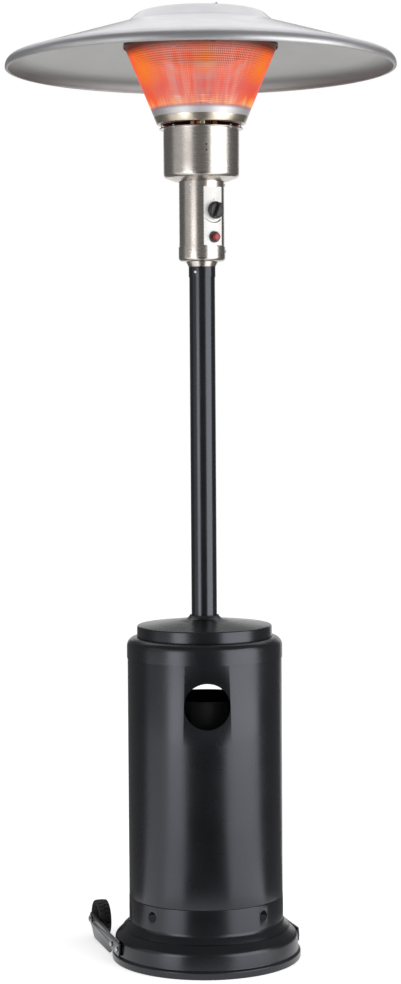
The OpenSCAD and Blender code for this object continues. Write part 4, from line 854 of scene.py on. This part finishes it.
# Wheel set: two flat steel arms bolted to the base's band, each with a stub axle at its end
# and a moulded wheel with a rubber tyre inside it. Arms are powder coated, fasteners plated.
for side in ("left", "right"):
    keep("arm_" + side, "wheel_arm_" + side, 0.8, black_coat, "black_coat")
keep("axle_rod", "wheel_axle", 0.5, zinc, "zinc_steel")
keep("collars_of_axle", "axle_collars", 0.4, zinc, "zinc_steel")
keep("caps_of_axle", "axle_caps", 0.6, zinc, "zinc_steel")
keep("bolts_of_arms", "arm_bolts", 0.4, zinc, "zinc_steel")

# Tyre rubber: moulded black, matt, greyed by the ground in patches.
tyre_rubber = clouded("moulded_tyre_rubber", cloud_mm=12, detail=5.0, colours=("#121212", "#2A2927"),
                      sheens=(0.55, 0.8), shine={"IOR": 1.52}, bumps={"Strength": 0.2, "Distance": 0.0003})

for side in ("left", "right"):
    keep("wheel_moulding_" + side, "wheel_" + side, 0.5, black_plastic, "black_plastic", side + "_wheel")

# Tyre: moulded once, lying flat, with a groove round its middle and slots across both
# shoulders that leave tread blocks, then stood on the stub axle of each wheel.
tyre_r, tyre_half, rim_r, slot_deep, slots = 43.0, 14.0, 34.3, 1.6, 24
edge_r = tyre_r - 1.0
groove = [(tyre_r, -1.6), (tyre_r - slot_deep, -1.0), (tyre_r - slot_deep, 1.0), (tyre_r, 1.6)]
tyre = turned("tyre_moulding_left", bent(
    [(rim_r, -tyre_half), (edge_r, -tyre_half, 3)] + groove + [
        (edge_r, tyre_half, 3), (rim_r, tyre_half), (rim_r, -tyre_half)]), slots * 4)


def on_slot(face):
    """Whether a face of the lying tyre is to be a slot: every fourth one, set over by two below."""
    mid = face.center * 1000
    step = int(math.degrees(math.atan2(mid.y, mid.x)) % 360 / (90 / slots))
    on_tread = face.normal.z ** 2 < 0.1 and mid.xy.length > edge_r - 0.8
    return on_tread and 3 < abs(mid.z) < tyre_half and step % 4 == (0 if mid.z > 0 else 2)


pick_faces(tyre, on_slot)
bpy.ops.mesh.inset(thickness=0.0003, depth=-slot_deep / 1000)
bpy.ops.object.mode_set(mode="OBJECT")
other = copied(tyre, "tyre_moulding_right")
kit_turn = Matrix.Rotation(math.radians(15), 4, "Z")
upright = Matrix.Rotation(math.radians(90), 4, "Y")
wheel_x, wheel_y, axle_z = 0.1871, 0.222, 0.046
for piece, side, x in ((tyre, "left", -wheel_x), (other, "right", wheel_x)):
    piece.matrix_world = kit_turn @ Matrix.Translation((x, wheel_y, axle_z)) @ upright
    settle(piece, tyre_rubber, side + "_wheel", "tyre_rubber", "tyre_" + side)


# Camera: eye height 1.30 m, 4.86 m from the axis, 80 mm lens on a 36 mm sensor, looking
# slightly down, a little to the left of the heater's own front.
camera_turn = -1.7
eye_aside, eye_distance, eye_height = -0.0067, 4.8576, 1.296
look_down, roll = 2.99, -0.379
seen_from = Matrix.Rotation(math.radians(camera_turn), 4, "Z")
lens = bpy.data.cameras.new("photo_camera")
lens.lens = 80.02
lens.sensor_width = 36
lens.clip_end = 100
eye = bpy.data.objects.new("photo_camera", lens)
bpy.context.scene.collection.objects.link(eye)
tilt = Matrix.Rotation(math.radians(90 - look_down), 4, "X") @ Matrix.Rotation(math.radians(roll), 4, "Z")
eye.matrix_world = seen_from @ Matrix.Translation((eye_aside, -eye_distance, eye_height)) @ tilt
bpy.context.scene.camera = eye


# Studio: a pale floor, a white surround, two tall soft boxes in front, right and left, and
# cards that only reflections see: dark ones in front, at both sides, overhead and high
# behind, two pale boards on the floor and two strips overhead.

def plainly_seen(tree):
    """A node that gives 1 to rays from the camera, from reflections and through glass."""
    path = add(tree, "ShaderNodeLightPath")
    seen = add(tree, "ShaderNodeMath", {"operation": "MAXIMUM"},
               {0: path.outputs["Is Camera Ray"], 1: path.outputs["Is Glossy Ray"]})
    return add(tree, "ShaderNodeMath", {"operation": "MAXIMUM"},
               {0: seen.outputs[0], 1: path.outputs["Is Transmission Ray"]})


bpy.ops.object.select_all(action="DESELECT")
bpy.ops.mesh.primitive_plane_add(size=60)
floor = bpy.context.object
floor.name = "studio_floor"
paper, tree, shader = finish_named("white_paper_floor")
seen = plainly_seen(tree)
lift = add(tree, "ShaderNodeMath", {"operation": "MULTIPLY", 1: 0.5}, {0: seen.outputs[0]})
add(tree, shader, {"Base Color": linear("#F4F4F4"), "Roughness": 0.9, "Specular IOR Level": 0.0,
                   "Emission Color": linear("#FFFFFF")}, {"Emission Strength": lift.outputs[0]})
floor.data.materials.append(paper)

world = bpy.data.worlds.new("white_surround")
bpy.context.scene.world = world
world.use_nodes = True
tree = world.node_tree
seen = plainly_seen(tree)
fill = add(tree, "ShaderNodeBackground", {"Color": linear("#FFFFFF"), "Strength": 0.62})
white = add(tree, "ShaderNodeBackground", {"Color": linear("#FFFFFF"), "Strength": 1.0})
both = add(tree, "ShaderNodeMixShader", None, {0: seen.outputs[0], 1: fill.outputs[0], 2: white.outputs[0]})
tree.links.new(both.outputs[0], tree.nodes["World Output"].inputs["Surface"])

lamp_distance, lamp_sunk = 3.2, 0.15
for name, degrees, width, height, power in (
        ("soft_box_right", 55, 3.2, 3.0, 70), ("soft_box_left", -42, 1.35, 1.9, 22)):
    box = bpy.data.lights.new(name, "AREA")
    box.shape = "RECTANGLE"
    box.size = width
    box.size_y = height
    box.energy = power
    lamp = bpy.data.objects.new(name, box)
    bpy.context.scene.collection.objects.link(lamp)
    place = Matrix.Translation((0, -lamp_distance, height / 2 - lamp_sunk))
    lamp.matrix_world = (seen_from @ Matrix.Rotation(math.radians(degrees), 4, "Z") @ place
                         @ Matrix.Rotation(math.radians(90), 4, "X"))

# Each card's name, first angle and sweep in degrees, outline in metres and shade
wall, ground = [(6.0, 0.02), (6.0, 5.0)], [(0.4, 0.012), (6.0, 0.012)]
ceiling, strip = [(6.0, 5.0), (3.0, 7.0), (0.3, 7.6)], [(1.3, 7.2), (2.8, 6.85)]
for name, start, sweep, line, shade in (
        ("card_front", -118, 58, wall, 0.16), ("cloth_front", -118, 58, ground, 0.04),
        ("card_right", -6, 68, ground + wall[1:], 0.14), ("card_left", 112, 64, ground + wall[1:], 0.16),
        ("card_far_left", 176, 40, wall, 0.6), ("card_rear", 62, 56, [(6.0, 2.5), (6.0, 4.0)], 0.14),
        ("ceiling_front", -215, 250, ceiling, 0.17),
        ("strip_left", -216, 40, strip, 1.2), ("strip_right", -4, 40, strip, 1.2),
        ("board_left", -146, 28, ground, 2.0), ("board_right", -60, 54, ground, 2.0)):
    card = turned(name, line, 24, sweep)
    card.rotation_euler = (0, 0, math.radians(start + camera_turn))
    dark, tree, shader = finish_named(name + "_cloth")
    add(tree, shader, {"Base Color": (0, 0, 0, 1), "Specular IOR Level": 0.0, "Emission Color": (1, 1, 1, 1),
                       "Emission Strength": shade})
    card.data.materials.append(dark)
    card.visible_camera = False
    card.visible_diffuse = False
    card.visible_transmission = False
    card.visible_volume_scatter = False
    card.visible_shadow = False
